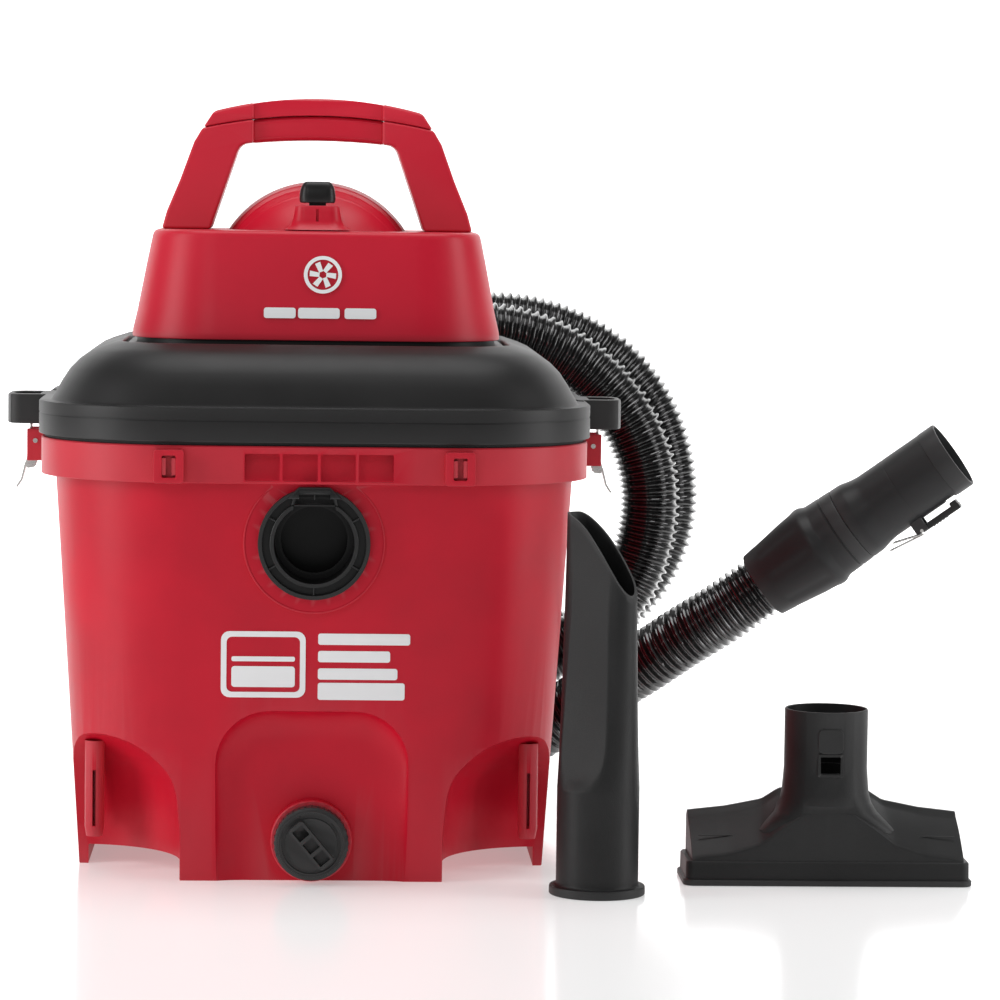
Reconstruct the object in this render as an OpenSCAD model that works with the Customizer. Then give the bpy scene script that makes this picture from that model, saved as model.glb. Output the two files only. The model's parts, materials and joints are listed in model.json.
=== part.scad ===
// Wet/dry shop vacuum: tank, lid, motor head, carry handle, free hose and two standing tools.
// Millimetres, +Z up, front towards -Y. The origin is on the floor under the centre of the tank.

/* [Tank] */
// Half width of the tank at its foot
foot_half = 192; // [188:1:196]
// Half width of the tank under its rim band
neck_half = 213; // [210:1:214]
// Wall thickness of the tank
wall = 3.5; // [3:0.1:4]
// Height of the top of the rim band
rim_top = 355; // [350:1:355]
// Half width of the rim band
rim_half = 225; // [223:1:226]
// Distance from the middle to the centre of each of the tank's round corners
core = 104; // [96:1:108]

/* [Inlet and drain] */
// Height of the inlet's centre
inlet_z = 277; // [270:1:277]
// Radius of the inlet's bore, for a 63.5 mm cuff
inlet_bore_r = 32; // [31.9:0.05:32.2]
// Outer radius of the inlet's flange
inlet_flange_r = 45; // [44:1:46]
// Height of the drain's centre
drain_z = 34; // [34:0.5:35]
// Radius of the drain cap
drain_cap_r = 29.7; // [28:0.1:30]

/* [Lid and head] */
// Half width of the lid's band
lid_half = 227; // [226:1:228]
// Half width of the head shell at its foot
head_half_w = 153; // [150:1:154]
// Half depth of the head shell at its foot
head_half_d = 128; // [124:1:130]
// Height of the flat top of the head shell
head_top = 525; // [524:1:526]
// Radius of the motor dome
dome_r = 89; // [88:0.5:90]

/* [Hose and cuff] */
// Outer radius of the hose over its ribs
hose_r = 28.5; // [26:0.5:29]
// Radius of the cuff's free end
cuff_r = 31.75; // [31.5:0.05:31.8]
// Angle of the cuff above the floor
cuff_elev = 36; // [35:1:37]
// Direction of the cuff in plan, from +X
cuff_azim = -14; // [-15:1:-13]

/* [Tools] */
// Height of the crevice tool
crevice_h = 306; // [290:1:320]
// Half width of the utility nozzle at its foot
nozzle_half = 118; // [110:1:120]
// Radius of the sockets that take the cuff
socket_r = 31.8; // [31.8:0.01:31.85]

/* [Hidden] */
$fn = 64;
EPS = 0.01;
foot_z = 0;
neck_z = 325;
floor_z = 20;
relief_r = 88;
relief_top = 121;
relief_at = 194;
recess_half = 78;
recess_top = 140;
recess_corner = 44;
caster_at = [178, 138];
inlet_face = -212.8;
drain_face = -199;
drain_bore_r = 14;
boss_r = 33;
boss_back = 178;
pad_r = 57;
pad_back = 201;
port_spigot_r = 37.6;
liner = 3;
latch_u = 236;
latch_z = 345;
link_u = 239;
link_z = 331;
lid_floor = 355.3;
lid_band_top = 385;
head_floor = 436;
head_foot_r = 72;
head_top_r = 54.4;
head_cx = head_half_w - head_foot_r;
head_cy = head_half_d - head_foot_r;
gland_at = [-62, 454];
head_screw_at = [100, 78];
handle_screw_at = [108, 18];
well_r = 77;
dome_z = 477;
well_floor = 384;
switch_at = [0, -68, 546];
port_z = 480;
port_end = 150;
plug_end = 185;
cuff_at = [400, 140, 213];
cuff_seam = 97;
cuff_land = 190;
cuff_neck_r = 30.8;
cuff_len = 206;
crevice_at = [229, -240, 0];
crevice_turn = -38;
nozzle_at = [420, -170, 0];
nozzle_h = 142;

// Route of the hose's centre line from its plug in the blower port to its cuff.
HOSE_ROUTE = [
    [0, 185, 480], [0, 230, 480], [0, 275, 474], [0, 318, 456], [0, 352, 426],
    [-2, 375, 386], [-2, 385, 342], [4, 389, 298], [15, 387, 252], [35, 384, 205],
    [65, 379, 162], [105, 371, 134], [155, 363, 122], [208, 357, 128], [260, 354, 152],
    [300, 352, 188], [324, 352, 230], [332, 352, 274], [326, 351, 320], [308, 350, 362],
    [276, 347, 400], [232, 346, 426], [182, 343, 438], [130, 339, 435], [82, 333, 415],
    [42, 328, 380], [18, 325, 335], [8, 322, 286], [12, 318, 236], [32, 313, 190],
    [66, 307, 152], [110, 301, 128], [160, 296, 120], [212, 293, 130], [258, 292, 158],
    [292, 292, 200], [308, 292, 250], [308, 292, 300], [290, 291, 348], [256, 289, 390],
    [212, 286, 418], [162, 282, 430], [112, 277, 424], [66, 272, 400], [28, 267, 364],
    [2, 264, 318], [-10, 262, 268], [-10, 261, 216], [-2, 259, 168], [12, 257, 124],
    [34, 256, 87], [65, 256, 59], [105, 255, 44], [150, 250, 45], [190, 239, 60],
    [226, 220, 85], [262, 201, 112], [296, 183, 136], [330, 165, 162], [366, 149, 187.5],
    [400, 140, 213]
];
HOSE_SIDES = 12;

// ---------- shared shapes ----------

// A rectangle of half sizes hx, hy with round corners.
module round_rect(hx, hy, r) {
    square([2 * hx, 2 * (hy - r)], center = true);
    square([2 * (hx - r), 2 * hy], center = true);
    for (sx = [-1, 1], sy = [-1, 1])
        translate([sx * (hx - r), sy * (hy - r)]) circle(r);
}

// A block with conical corners centred at cx, cy, of corner radius r0 at z0 and r1 at z1.
module taper(r0, r1, z0, z1, cx = core, cy = core) {
    rotate([90, 0, 0]) linear_extrude(height = 2 * cy, center = true)
        polygon([[-cx - r0, z0], [cx + r0, z0], [cx + r1, z1], [-cx - r1, z1]]);
    rotate([90, 0, 90]) linear_extrude(height = 2 * cx, center = true)
        polygon([[-cy - r0, z0], [cy + r0, z0], [cy + r1, z1], [-cy - r1, z1]]);
    for (sx = [-1, 1], sy = [-1, 1])
        translate([sx * cx, sy * cy, z0]) cylinder(r1 = r0, r2 = r1, h = z1 - z0);
}

// A straight slab with the tank's plan, out to a half width.
module slab(half, z0, z1) {
    translate([0, 0, z0]) linear_extrude(height = z1 - z0) round_rect(half, half, half - core);
}

// A ring or disc about +Z between two heights.
module ring(r_out, r_in, z0, z1) {
    rotate_extrude() translate([r_in, z0]) square([r_out - r_in, z1 - z0]);
}

// A stepped ring about +Z, from [radius, height] points.
module turned(points) {
    rotate_extrude() polygon(points);
}

// Children drawn along +Z come out along -Y, from the axis through x, z.
module facing_front(x, y, z) {
    translate([x, y, z]) rotate([90, 0, 0]) children();
}

// Children drawn in the cuff's own frame, along +Z.
module cuff_place() {
    translate(cuff_at) rotate([0, 90 - cuff_elev, cuff_azim]) children();
}

// A thin screw with a pan head, pointing up from z = 0.
module screw(r, len) {
    cylinder(r = r, h = len);
    translate([0, 0, -2.5]) cylinder(r = 2 * r, h = 2.5);
}

// Half width of the tank's outside at height z.
function tank_half(z) = foot_half + (neck_half - foot_half) * (z - foot_z) / (neck_z - foot_z);

// ---------- tank ----------

// One round-topped corner pocket for a caster, grown by g.
module corner_relief(g) {
    turned([
        [0, -5], [relief_r + g, -5], [relief_r + g, 40], [relief_r * 0.97 + g, 71],
        [relief_r * 0.91 + g, 86], [relief_r * 0.76 + g, 100], [relief_r * 0.58 + g, 111],
        [relief_r * 0.34 + g, 117 + g], [0, relief_top + g]
    ]);
}

module corner_reliefs(g) {
    for (sx = [-1, 1], sy = [-1, 1])
        translate([sx * relief_at, sy * relief_at, 0]) corner_relief(g);
}

// The arched recess round the drain, grown by g.
module front_recess(g) {
    facing_front(0, -tank_half(60) + 9 + g, 50) linear_extrude(height = 60)
        translate([0, recess_top / 2 - 50]) round_rect(recess_half + g, recess_top / 2 + g, recess_corner);
}

module tank_outside() {
    taper(foot_half - core, neck_half - core, foot_z, neck_z);
}

// Upright sockets in the corner pockets, which take the stems of casters.
module caster_sockets() {
    for (sx = [-1, 1], sy = [-1, 1])
        translate([sx * caster_at[0], sy * caster_at[1], 0]) ring(8, 4, 28, 108);
}

// A hub and four ribs that stiffen the underside and stand on the floor.
module under_ribs() {
    ring(18, 0, 0, floor_z - 3.9);
    for (a = [0:90:270])
        rotate(a) translate([100, 0, (floor_z - 3.9) / 2]) cube([166, 3, floor_z - 3.9], center = true);
}

module latch_ears() {
    for (sx = [-1, 1], sy = [-1, 1])
        translate([sx * 232, sy * 15, 341.5]) cube([22, 4, 27], center = true);
}

// Two blocks on the rim's front with a funnel slot that holds a tool's hook.
module tool_brackets() {
    for (sx = [-1, 1])
        translate([sx * 116, -228, 338.5]) difference() {
            cube([24, 10, 27], center = true);
            translate([0, 0, -1]) cube([4.4, 12, 18], center = true);
        }
}

module rim_band() {
    difference() {
        slab(rim_half, neck_z, rim_top);
        difference() {
            slab(rim_half - 3, neck_z - 1, rim_top - 3);
            slab(neck_half, neck_z - 2, rim_top);
        }
        for (i = [0:3])
            translate([-42 + 30.3 * i, -rim_half, 338]) cube([28, 14, 22], center = true);
    }
}

module tank() {
    color("crimson") difference() {
        union() {
            difference() {
                union() {
                    tank_outside();
                    rim_band();
                }
                taper(tank_half(floor_z) - wall - core, neck_half - wall - core, floor_z, neck_z);
                slab(neck_half - wall, neck_z, rim_top + 5);
                slab(foot_half - wall, -1, floor_z - 4);
            }
            intersection() {
                tank_outside();
                union() {
                    corner_reliefs(liner);
                    front_recess(liner);
                }
            }
            facing_front(0, -pad_back, inlet_z) cylinder(r = pad_r, h = -inlet_face - pad_back);
            facing_front(0, -boss_back, drain_z) cylinder(r = boss_r, h = -drain_face - boss_back);
            latch_ears();
            tool_brackets();
        }
        corner_reliefs(0);
        difference() {
            front_recess(0);
            facing_front(0, -150, drain_z) cylinder(r = boss_r, h = 100);
        }
        facing_front(0, -170, inlet_z) cylinder(r = port_spigot_r, h = 60);
        facing_front(0, -170, drain_z) cylinder(r = drain_bore_r, h = 60);
        for (sx = [-1, 1])
            translate([sx * latch_u, 30, latch_z]) rotate([90, 0, 0]) cylinder(r = 2, h = 60);
    }
    color("crimson") caster_sockets();
    color("crimson") under_ribs();
}

module inlet_port() {
    color([0.12, 0.12, 0.12]) facing_front(0, 0, inlet_z) difference() {
        union() {
            turned([
                [27, 175], [37.4, 175], [37.4, 214.5], [inlet_flange_r, 214.5],
                [inlet_flange_r, 222], [inlet_flange_r - 3.5, 222], [inlet_flange_r - 3.5, 216.5],
                [35.5, 216.5], [35.5, 221], [inlet_bore_r, 221], [inlet_bore_r, 179], [27, 179]
            ]);
            for (a = [30:60:330])
                rotate(a) translate([35, -1, 214.6]) cube([8, 2, 5]);
        }
        translate([0, 29.5, 219]) cube([34, 19, 12], center = true);
    }
}

module inlet_gasket() {
    color([0.1, 0.1, 0.1]) facing_front(0, 0, inlet_z)
        ring(inlet_flange_r - 1, 37.5, -inlet_face, 214.5);
}

module inlet_deflector() {
    color([0.15, 0.15, 0.15]) facing_front(0, 0, inlet_z) difference() {
        union() {
            ring(41, 37.5, 138, 200);
            ring(41, 0, 138, 141);
        }
        translate([-60, -60, 144]) cube([60, 75, 26]);
    }
}

module latch_pivot_pins() {
    color("silver") for (sx = [-1, 1])
        translate([sx * latch_u, 18, latch_z]) rotate([90, 0, 0]) cylinder(r = 2, h = 36);
}

module drain_washer() {
    color([0.2, 0.2, 0.2]) facing_front(0, 0, drain_z)
        ring(21, drain_bore_r + 0.5, -drain_face + 0.3, -drain_face + 2.8);
}

module drain_cap() {
    face = -drain_face + 3.1;
    color([0.1, 0.1, 0.1]) facing_front(0, 0, drain_z) {
        difference() {
            turned([
                [0, 181], [drain_bore_r - 0.4, 181], [drain_bore_r - 0.4, face],
                [drain_cap_r, face], [drain_cap_r, face + 12], [drain_cap_r - 3, face + 14],
                [0, face + 14]
            ]);
            translate([0, 0, face + 12]) ring(24, 21, 0, 5);
        }
        rotate(-50) translate([0, 0, face + 14]) difference() {
            linear_extrude(height = 8) round_rect(21, 7.2, 3);
            for (i = [-1:1])
                translate([13 * i, 0, 6]) cube([10, 10, 9], center = true);
        }
    }
}

// ---------- lid ----------

// The dome of the lid as stacked tapers, drawn inwards by t.
module lid_dome(t) {
    levels = [[lid_band_top, 217], [393, 212], [411, 201], [425, 184], [431, 168], [433, 157]];
    for (i = [0 : len(levels) - 2])
        taper(
            levels[i][1] - t - core, levels[i + 1][1] - t - core,
            levels[i][0] - t, levels[i + 1][0] - t
        );
}

module lid_wings() {
    for (sx = [-1, 1])
        difference() {
            translate([sx * 240, 0, 372.5]) cube([38, 60, 25], center = true);
            translate([sx * 243.5, 0, 372.5]) cube([22, 40, 40], center = true);
        }
}

module lid() {
    color([0.12, 0.12, 0.12]) {
        difference() {
            union() {
                slab(lid_half, 358, lid_band_top);
                lid_dome(0);
                lid_wings();
                taper(head_foot_r - 4, head_foot_r - 4, 432.5, 439.5, head_cx, head_cy);
            }
            slab(lid_half - 12, 357, lid_band_top - 3);
            lid_dome(3);
            cylinder(r = well_r, h = 500);
            for (sx = [-1, 1], sy = [-1, 1])
                translate([sx * head_screw_at[0], sy * head_screw_at[1], 420]) cylinder(r = 2.6, h = 30);
        }
        difference() {
            ring(well_r + 3, 32, well_floor, 437);
            translate([0, 0, well_floor + 4]) cylinder(r = well_r, h = 60);
        }
    }
}

module lid_gasket() {
    color([0.25, 0.25, 0.25]) translate([0, 0, lid_floor])
        linear_extrude(height = 358 - lid_floor) difference() {
            round_rect(lid_half - 5, lid_half - 5, lid_half - 5 - core);
            round_rect(lid_half - 11.5, lid_half - 11.5, lid_half - 11.5 - core);
        }
}

module head_shell() {
    color("crimson") difference() {
        taper(head_foot_r, head_top_r, head_floor, head_top, head_cx, head_cy);
        taper(head_foot_r - 3.2, head_top_r - 3.2, head_floor - EPS, head_top - 3, head_cx, head_cy);
        cylinder(r = well_r + 0.2, h = 600);
        handle_screw_holes();
        facing_front(0, 200, port_z) cylinder(r = 38.2, h = 120);
        facing_front(gland_at[0], 200, gland_at[1]) cylinder(r = 8, h = 120);
    }
    color("crimson") for (sx = [-1, 1], sy = [-1, 1])
        translate([sx * head_screw_at[0], sy * head_screw_at[1], 0]) ring(7, 2.6, 440, 522.5);
}

module switch_plinth(g) {
    translate([switch_at[0], switch_at[1], 0]) linear_extrude(height = 600)
        round_rect(18 + g, 14 + g, 8);
}

module motor_dome() {
    color("crimson") {
        difference() {
            union() {
                translate([0, 0, dome_z]) sphere(dome_r);
                intersection() {
                    switch_plinth(0);
                    translate([0, 0, 535]) cube([200, 200, 22], center = true);
                }
            }
            translate([0, 0, dome_z]) sphere(dome_r - 2.5);
            translate([0, 0, head_top - 200]) cube([300, 300, 400], center = true);
            translate([0, 0, switch_at[2]]) linear_extrude(height = 40)
                translate([0, switch_at[1]]) round_rect(17.5, 13.5, 8);
            translate([0, switch_at[1], 545]) cube([20, 12, 60], center = true);
            translate([-15, switch_at[1], 542]) rotate([0, 90, 0]) cylinder(r = 1.52, h = 30);
        }
        ring(82, 71.2, 519, 522);
        ring(74.8, 71.2, 522, 526);
    }
}

module switch_housing() {
    color([0.15, 0.15, 0.15]) translate([0, switch_at[1] + 6, 0]) difference() {
        translate([0, 0, 525]) cube([32, 8, 10], center = true);
        translate([0, 0, 525]) cube([24, 20, 5], center = true);
    }
}

module switch_pin() {
    color("silver") translate([-12, switch_at[1], 542]) rotate([0, 90, 0])
        cylinder(r = 1.5, h = 24);
}

module switch_cap() {
    color([0.08, 0.08, 0.08]) translate([0, switch_at[1], 0]) difference() {
        union() {
            translate([0, 0, 548]) linear_extrude(height = 18) round_rect(15, 11, 8);
            translate([0, 0, 543]) cube([14, 7, 10.5], center = true);
        }
        translate([-20, 0, 542]) rotate([0, 90, 0]) cylinder(r = 1.55, h = 40);
    }
}

// The handle's outline from the front, on one side of the centre.
function handle_side(s) = [
    [s * 130, 525.2], [s * 126, 540], [s * 115, 567], [s * 104, 598], [s * 97, 610]
];

// The grip's upper line, from the right end to the left end.
function grip_line(rise) = [
    for (i = [0:12]) let (x = 97 - 194 * i / 12) [x, 610 + rise - (x / 97) * (x / 97) * rise]
];

// The handle's crown, from the left end to the right end.
function crown_line() = [
    for (i = [0:8]) let (x = -88 + 22 * i) [x, 624 + 12 * (1 - (x / 88) * (x / 88))]
];

module handle_depth() {
    rotate([90, 0, 90]) linear_extrude(height = 300, center = true) polygon([
        [-40, 525], [-27, 590], [-20, 622], [-14, 634], [-7, 637],
        [7, 637], [14, 634], [20, 622], [27, 590], [40, 525]
    ]);
}

// Holes for the four screws that hold the handle.
module handle_screw_holes() {
    for (sx = [-1, 1], sy = [-1, 1])
        translate([sx * handle_screw_at[0], sy * handle_screw_at[1], 515]) cylinder(r = 2.05, h = 30);
}

module carry_handle() {
    color("crimson") difference() {
        handle_body();
        handle_screw_holes();
    }
}

module handle_body() {
    intersection() {
        rotate([90, 0, 0]) linear_extrude(height = 100, center = true) difference() {
            polygon(concat(handle_side(1), grip_line(11), [
                for (i = [4:-1:0]) handle_side(-1)[i]
            ]));
            polygon([[-90, 524], [-67, 592], [-56, 600], [56, 600], [67, 592], [90, 524]]);
        }
        handle_depth();
    }
}

module handle_cap() {
    color("crimson") intersection() {
        rotate([90, 0, 0]) linear_extrude(height = 100, center = true)
            polygon(concat(grip_line(11.2), crown_line()));
        handle_depth();
    }
}

module handle_screws() {
    color("silver") for (sx = [-1, 1], sy = [-1, 1])
        translate([sx * handle_screw_at[0], sy * handle_screw_at[1], head_top - 3]) screw(2, 22);
}

module head_screws() {
    color("silver") for (sx = [-1, 1], sy = [-1, 1])
        translate([sx * head_screw_at[0], sy * head_screw_at[1], 430]) screw(2.5, 32);
}

module cord_gland() {
    color([0.1, 0.1, 0.1]) translate([gland_at[0], 0, gland_at[1]]) rotate([-90, 0, 0]) {
        ring(7.9, 4, 112, 128);
        ring(12, 4, 127.2, 131);
        translate([0, 0, 131]) difference() {
            cylinder(r = 9.5, h = 8, $fn = 6);
            cylinder(r = 4, h = 30, center = true);
        }
    }
}

module blower_port() {
    color([0.12, 0.12, 0.12]) translate([0, 0, port_z]) rotate([-90, 0, 0]) turned([
        [32, 108], [38, 108], [38, 128.6], [46, 128.6], [46, 132], [38, 134],
        [36, port_end], [32, port_end]
    ]);
}

// ---------- motor ----------

module motor_housing() {
    color([0.2, 0.2, 0.22]) difference() {
        turned([
            [13, 430.3], [62, 430.3], [62, 434], [50, 436], [50, 510], [42, 521], [11, 521],
            [11, 512.5], [40, 510.5], [47, 506], [47, 434.3], [22, 434.3], [22, 441.5], [13, 441.5]
        ]);
        for (a = [45:90:315])
            rotate(a) translate([40, 0, 500]) cube([20, 18, 8], center = true);
    }
}

module stator_core() {
    color([0.45, 0.45, 0.48]) difference() {
        ring(46.9, 30, 448, 488);
        for (a = [0:30:330])
            rotate(a + 15) translate([34, 0, 468]) cube([5, 3, 50], center = true);
    }
}

module field_coils() {
    color([0.7, 0.35, 0.15]) for (a = [0, 180], z = [438, 488.1])
        rotate(a + 20) rotate_extrude(angle = 140) translate([31, z]) square([13, 9.8]);
}

module brush_holders() {
    color("goldenrod") for (sx = [-1, 1])
        translate([sx * 32, 0, 504]) difference() {
            cube([20, 12, 9], center = true);
            cube([30, 8, 6], center = true);
        }
}

module carbon_brushes() {
    color([0.1, 0.1, 0.1]) for (sx = [-1, 1])
        translate([sx * 25.6, 0, 504]) cube([24, 8, 6], center = true);
}

module motor_bearings() {
    color("silver") {
        ring(11, 5.03, 512.6, 520);
        ring(13, 5.03, 431, 438);
    }
}

module motor_shaft() {
    color("silver") translate([0, 0, 386]) cylinder(r = 5, h = 149);
}

module rotor_core() {
    color([0.5, 0.5, 0.52]) difference() {
        ring(29.3, 5, 448, 488);
        for (a = [0:30:330])
            rotate(a) translate([27, 0, 468]) cube([7, 2, 50], center = true);
    }
}

module rotor_windings() {
    color([0.72, 0.4, 0.18]) {
        ring(25, 9, 488, 497);
        ring(25, 9, 442, 448);
    }
}

module commutator() {
    color([0.75, 0.45, 0.25]) difference() {
        ring(13, 5, 499, 509);
        for (a = [0:20:340])
            rotate(a) translate([12.6, 0, 504]) cube([1.2, 0.6, 12], center = true);
    }
}

module cooling_fan() {
    color([0.85, 0.85, 0.82]) {
        ring(10, 5, 522.5, 534);
        ring(42, 9.9, 522.5, 524.5);
        for (a = [0:40:320])
            rotate(a) translate([26, 0, 529]) rotate([0, 0, 25]) cube([28, 1.6, 9.2], center = true);
    }
}

module impeller_housing() {
    color([0.75, 0.75, 0.77]) difference() {
        turned([
            [26, 388.3], [74, 388.3], [74, 430.2], [13.5, 430.2], [13.5, 428.5], [72.5, 428.5],
            [72.5, 390], [26, 390]
        ]);
        for (a = [0:40:320])
            rotate(a) translate([73, 0, 412]) cube([8, 30, 14], center = true);
    }
}

module impeller() {
    color([0.8, 0.8, 0.82]) {
        ring(64, 24, 396, 397.5);
        ring(64, 5, 412, 413.5);
        ring(11, 5, 396, 420);
        for (a = [0:45:315])
            rotate(a) translate([42, 4, 404.8]) rotate([0, 0, -28]) cube([40, 1.5, 15], center = true);
    }
}

module impeller_nut() {
    color("silver") difference() {
        translate([0, 0, 389]) cylinder(r = 9, h = 6.8, $fn = 6);
        translate([0, 0, 380]) cylinder(r = 5, h = 30);
    }
}

// ---------- filter ----------

module filter_cage() {
    color([0.15, 0.15, 0.15]) difference() {
        union() {
            turned([
                [0, 204], [60, 204], [60, 380], [75, 380], [75, 383.8], [24, 383.8], [24, 380],
                [57, 380], [57, 208], [0, 208]
            ]);
            translate([0, 0, 176]) cylinder(r = 6, h = 30);
        }
        for (a = [0:45:315], z = [222, 300])
            rotate(a + 22.5) translate([58, 0, z + 33]) cube([12, 30, 66], center = true);
    }
}

module float_ball() {
    color([0.9, 0.9, 0.88]) difference() {
        translate([0, 0, 247]) sphere(38);
        translate([0, 0, 247]) sphere(36);
    }
}

// Pleated paper between an inner and an outer radius.
module filter_cartridge() {
    pleats = 60;
    color([0.92, 0.9, 0.84]) translate([0, 0, 216]) linear_extrude(height = 156) difference() {
        polygon([
            for (i = [0 : 2 * pleats - 1])
                let (r = i % 2 == 0 ? 87 : 70, a = 180 * i / pleats) [r * cos(a), r * sin(a)]
        ]);
        circle(63);
    }
}

module filter_end_caps() {
    color([0.1, 0.1, 0.1]) {
        ring(90, 63, 372, 379.5);
        ring(90, 63, 208.5, 216);
    }
}

module filter_retainer() {
    color([0.15, 0.15, 0.15]) {
        ring(84, 6.1, 200, 203.7);
        ring(90, 78, 200, 208.5);
    }
}

module retainer_knob() {
    color([0.75, 0.1, 0.12]) difference() {
        union() {
            ring(14, 6.1, 181, 199.6);
            for (a = [0:60:300])
                rotate(a) translate([17, 0, 190.3]) cube([14, 6, 18], center = true);
        }
        cylinder(r = 6.1, h = 400);
    }
}

// ---------- latches, drawn on the +X side ----------

module lever_shape() {
    for (sy = [-1, 1])
        translate([0, sy * 8.75, 0]) rotate([90, 0, 0])
            linear_extrude(height = 1.5, center = true) difference() {
                polygon([
                    [232.3, 343], [233, 347.6], [238.5, 348.6], [241.5, 345], [243.2, 333],
                    [245.2, 324], [243, 321], [237, 322], [235, 329]
                ]);
                translate([latch_u, latch_z]) circle(2.06);
                translate([link_u, link_z]) circle(1.6);
            }
    rotate([90, 0, 0]) linear_extrude(height = 19, center = true) polygon([
        [243.6, 326], [245.2, 326.2], [248.6, 312], [252.8, 305.6], [251.6, 304.6],
        [247.2, 311.2], [243.6, 325]
    ]);
}

module strap_shape() {
    difference() {
        union() {
            translate([link_u, 7, link_z]) rotate([90, 0, 0]) cylinder(r = 3.4, h = 14);
            translate([240.4, 0, 354]) cube([1.6, 14, 46], center = true);
            translate([237.2, 0, 376.2]) cube([8, 14, 1.6], center = true);
            translate([234, 0, 374.9]) cube([1.6, 14, 4.2], center = true);
        }
        translate([link_u, 20, link_z]) rotate([90, 0, 0]) cylinder(r = 1.66, h = 40);
    }
}

module link_pin_shape() {
    translate([link_u, 9.5, link_z]) rotate([90, 0, 0]) cylinder(r = 1.6, h = 19);
}

module latch_lever_right() { color("silver") lever_shape(); }
module latch_lever_left() { color("silver") mirror([1, 0, 0]) lever_shape(); }
module link_pin_right() { color("gray") link_pin_shape(); }
module link_pin_left() { color("gray") mirror([1, 0, 0]) link_pin_shape(); }
module latch_strap_right() { color("silver") strap_shape(); }
module latch_strap_left() { color("silver") mirror([1, 0, 0]) strap_shape(); }

// ---------- hose ----------

function cross3(a, b) = [
    a[1] * b[2] - a[2] * b[1], a[2] * b[0] - a[0] * b[2], a[0] * b[1] - a[1] * b[0]
];
function unit(v) = v / norm(v);

// Direction of the route at point i.
function route_dir(p, i) =
    i == 0 ? unit(p[1] - p[0])
    : i == len(p) - 1 ? unit(p[i] - p[i - 1])
    : unit(unit(p[i + 1] - p[i]) + unit(p[i] - p[i - 1]));

// A sideways vector that is carried along the route, so the rings don't twist.
function carried(p, i, side) =
    let (d = route_dir(p, i)) unit(side - (side * d) * d);
function sides_along(p, i = 0, side = [1, 0, 0]) =
    let (s = carried(p, i, side))
        i == len(p) - 1 ? [s] : concat([s], sides_along(p, i + 1, s));

module swept_tube(p, r, n) {
    s = sides_along(p);
    last = len(p) - 1;
    points = [
        for (i = [0:last]) let (d = route_dir(p, i), u = s[i], v = cross3(d, u))
            for (k = [0 : n - 1]) p[i] + r * (cos(360 * k / n) * u + sin(360 * k / n) * v)
    ];
    faces = concat(
        [[for (k = [0 : n - 1]) k]],
        [[for (k = [n - 1 : -1 : 0]) last * n + k]],
        [for (i = [0 : last - 1], k = [0 : n - 1])
            [i * n + k, (i + 1) * n + k, (i + 1) * n + (k + 1) % n]],
        [for (i = [0 : last - 1], k = [0 : n - 1])
            [i * n + k, (i + 1) * n + (k + 1) % n, i * n + (k + 1) % n]]
    );
    polyhedron(points, faces, convexity = 10);
}

module hose_plug() {
    color([0.12, 0.12, 0.12]) translate([0, 0, port_z]) rotate([-90, 0, 0]) turned([
        [28.6, 112], [31.9, 112], [31.9, port_end + 0.2], [35, port_end + 0.2],
        [35, 158], [33, plug_end], [28.6, plug_end]
    ]);
}

module hose() {
    color([0.08, 0.08, 0.08]) swept_tube(HOSE_ROUTE, hose_r, HOSE_SIDES);
}

module cuff_sleeve() {
    color([0.2, 0.2, 0.21]) cuff_place() turned([
        [27, 0], [31, 0], [38.5, 58], [39, 64], [36, 70], [35, cuff_seam],
        [30.06, cuff_seam], [30.06, 76], [27, 76]
    ]);
}

module cuff_tube() {
    color([0.2, 0.2, 0.21]) cuff_place() difference() {
        union() {
            turned([
                [27.5, 77], [30, 77], [30, cuff_seam + 0.3], [35, cuff_seam + 0.3],
                [34.5, 108], [33, 114], [cuff_neck_r, 124], [cuff_neck_r, cuff_land - 1.5],
                [cuff_r, cuff_land], [cuff_r, cuff_len], [29, cuff_len],
                [29, 112], [27.5, 106]
            ]);
            for (sy = [-1, 1])
                translate([35, sy * 9.5, 146]) cube([14, 3, 12], center = true);
        }
        translate([40, 20, 146]) rotate([90, 0, 0]) cylinder(r = 1.5, h = 40);
        cylinder(r = 27.5, h = 300);
        translate([32, 0, 182]) cube([10, 17, 11], center = true);
    }
}

module latch_pin() {
    color("silver") cuff_place() translate([40, 11, 146]) rotate([90, 0, 0])
        cylinder(r = 1.5, h = 22);
}

module cuff_latch() {
    color([0.15, 0.15, 0.15]) cuff_place() difference() {
        union() {
            translate([40, 7.5, 146]) rotate([90, 0, 0]) cylinder(r = 3.5, h = 15);
            translate([39.6, 0, 166]) cube([6, 15, 40], center = true);
            translate([38, 0, 182]) cube([9, 15, 7], center = true);
        }
        translate([40, 20, 146]) rotate([90, 0, 0]) cylinder(r = 1.56, h = 40);
    }
}

// A bent wire hairpin behind the latch.
module latch_spring() {
    color("silver") cuff_place() for (sy = [-1, 1]) translate([0, sy * 5.5, 0]) {
        translate([43.4, 0, 143.8]) rotate([0, 188, 0]) cylinder(r = 0.8, h = 32);
        translate([42.4, 0, 142.8]) rotate([0, 197, 0]) cylinder(r = 0.8, h = 26);
    }
}

// ---------- tools ----------

module crevice_blade(g, z0, z1) {
    hull() {
        translate([0, 0, z0]) cylinder(r = 33 - g, h = 1, $fn = 48);
        translate([0, 0, z1]) linear_extrude(height = 1)
            round_rect(31 - g, 12 - g, 11.9 - g, $fn = 32);
    }
}

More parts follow.
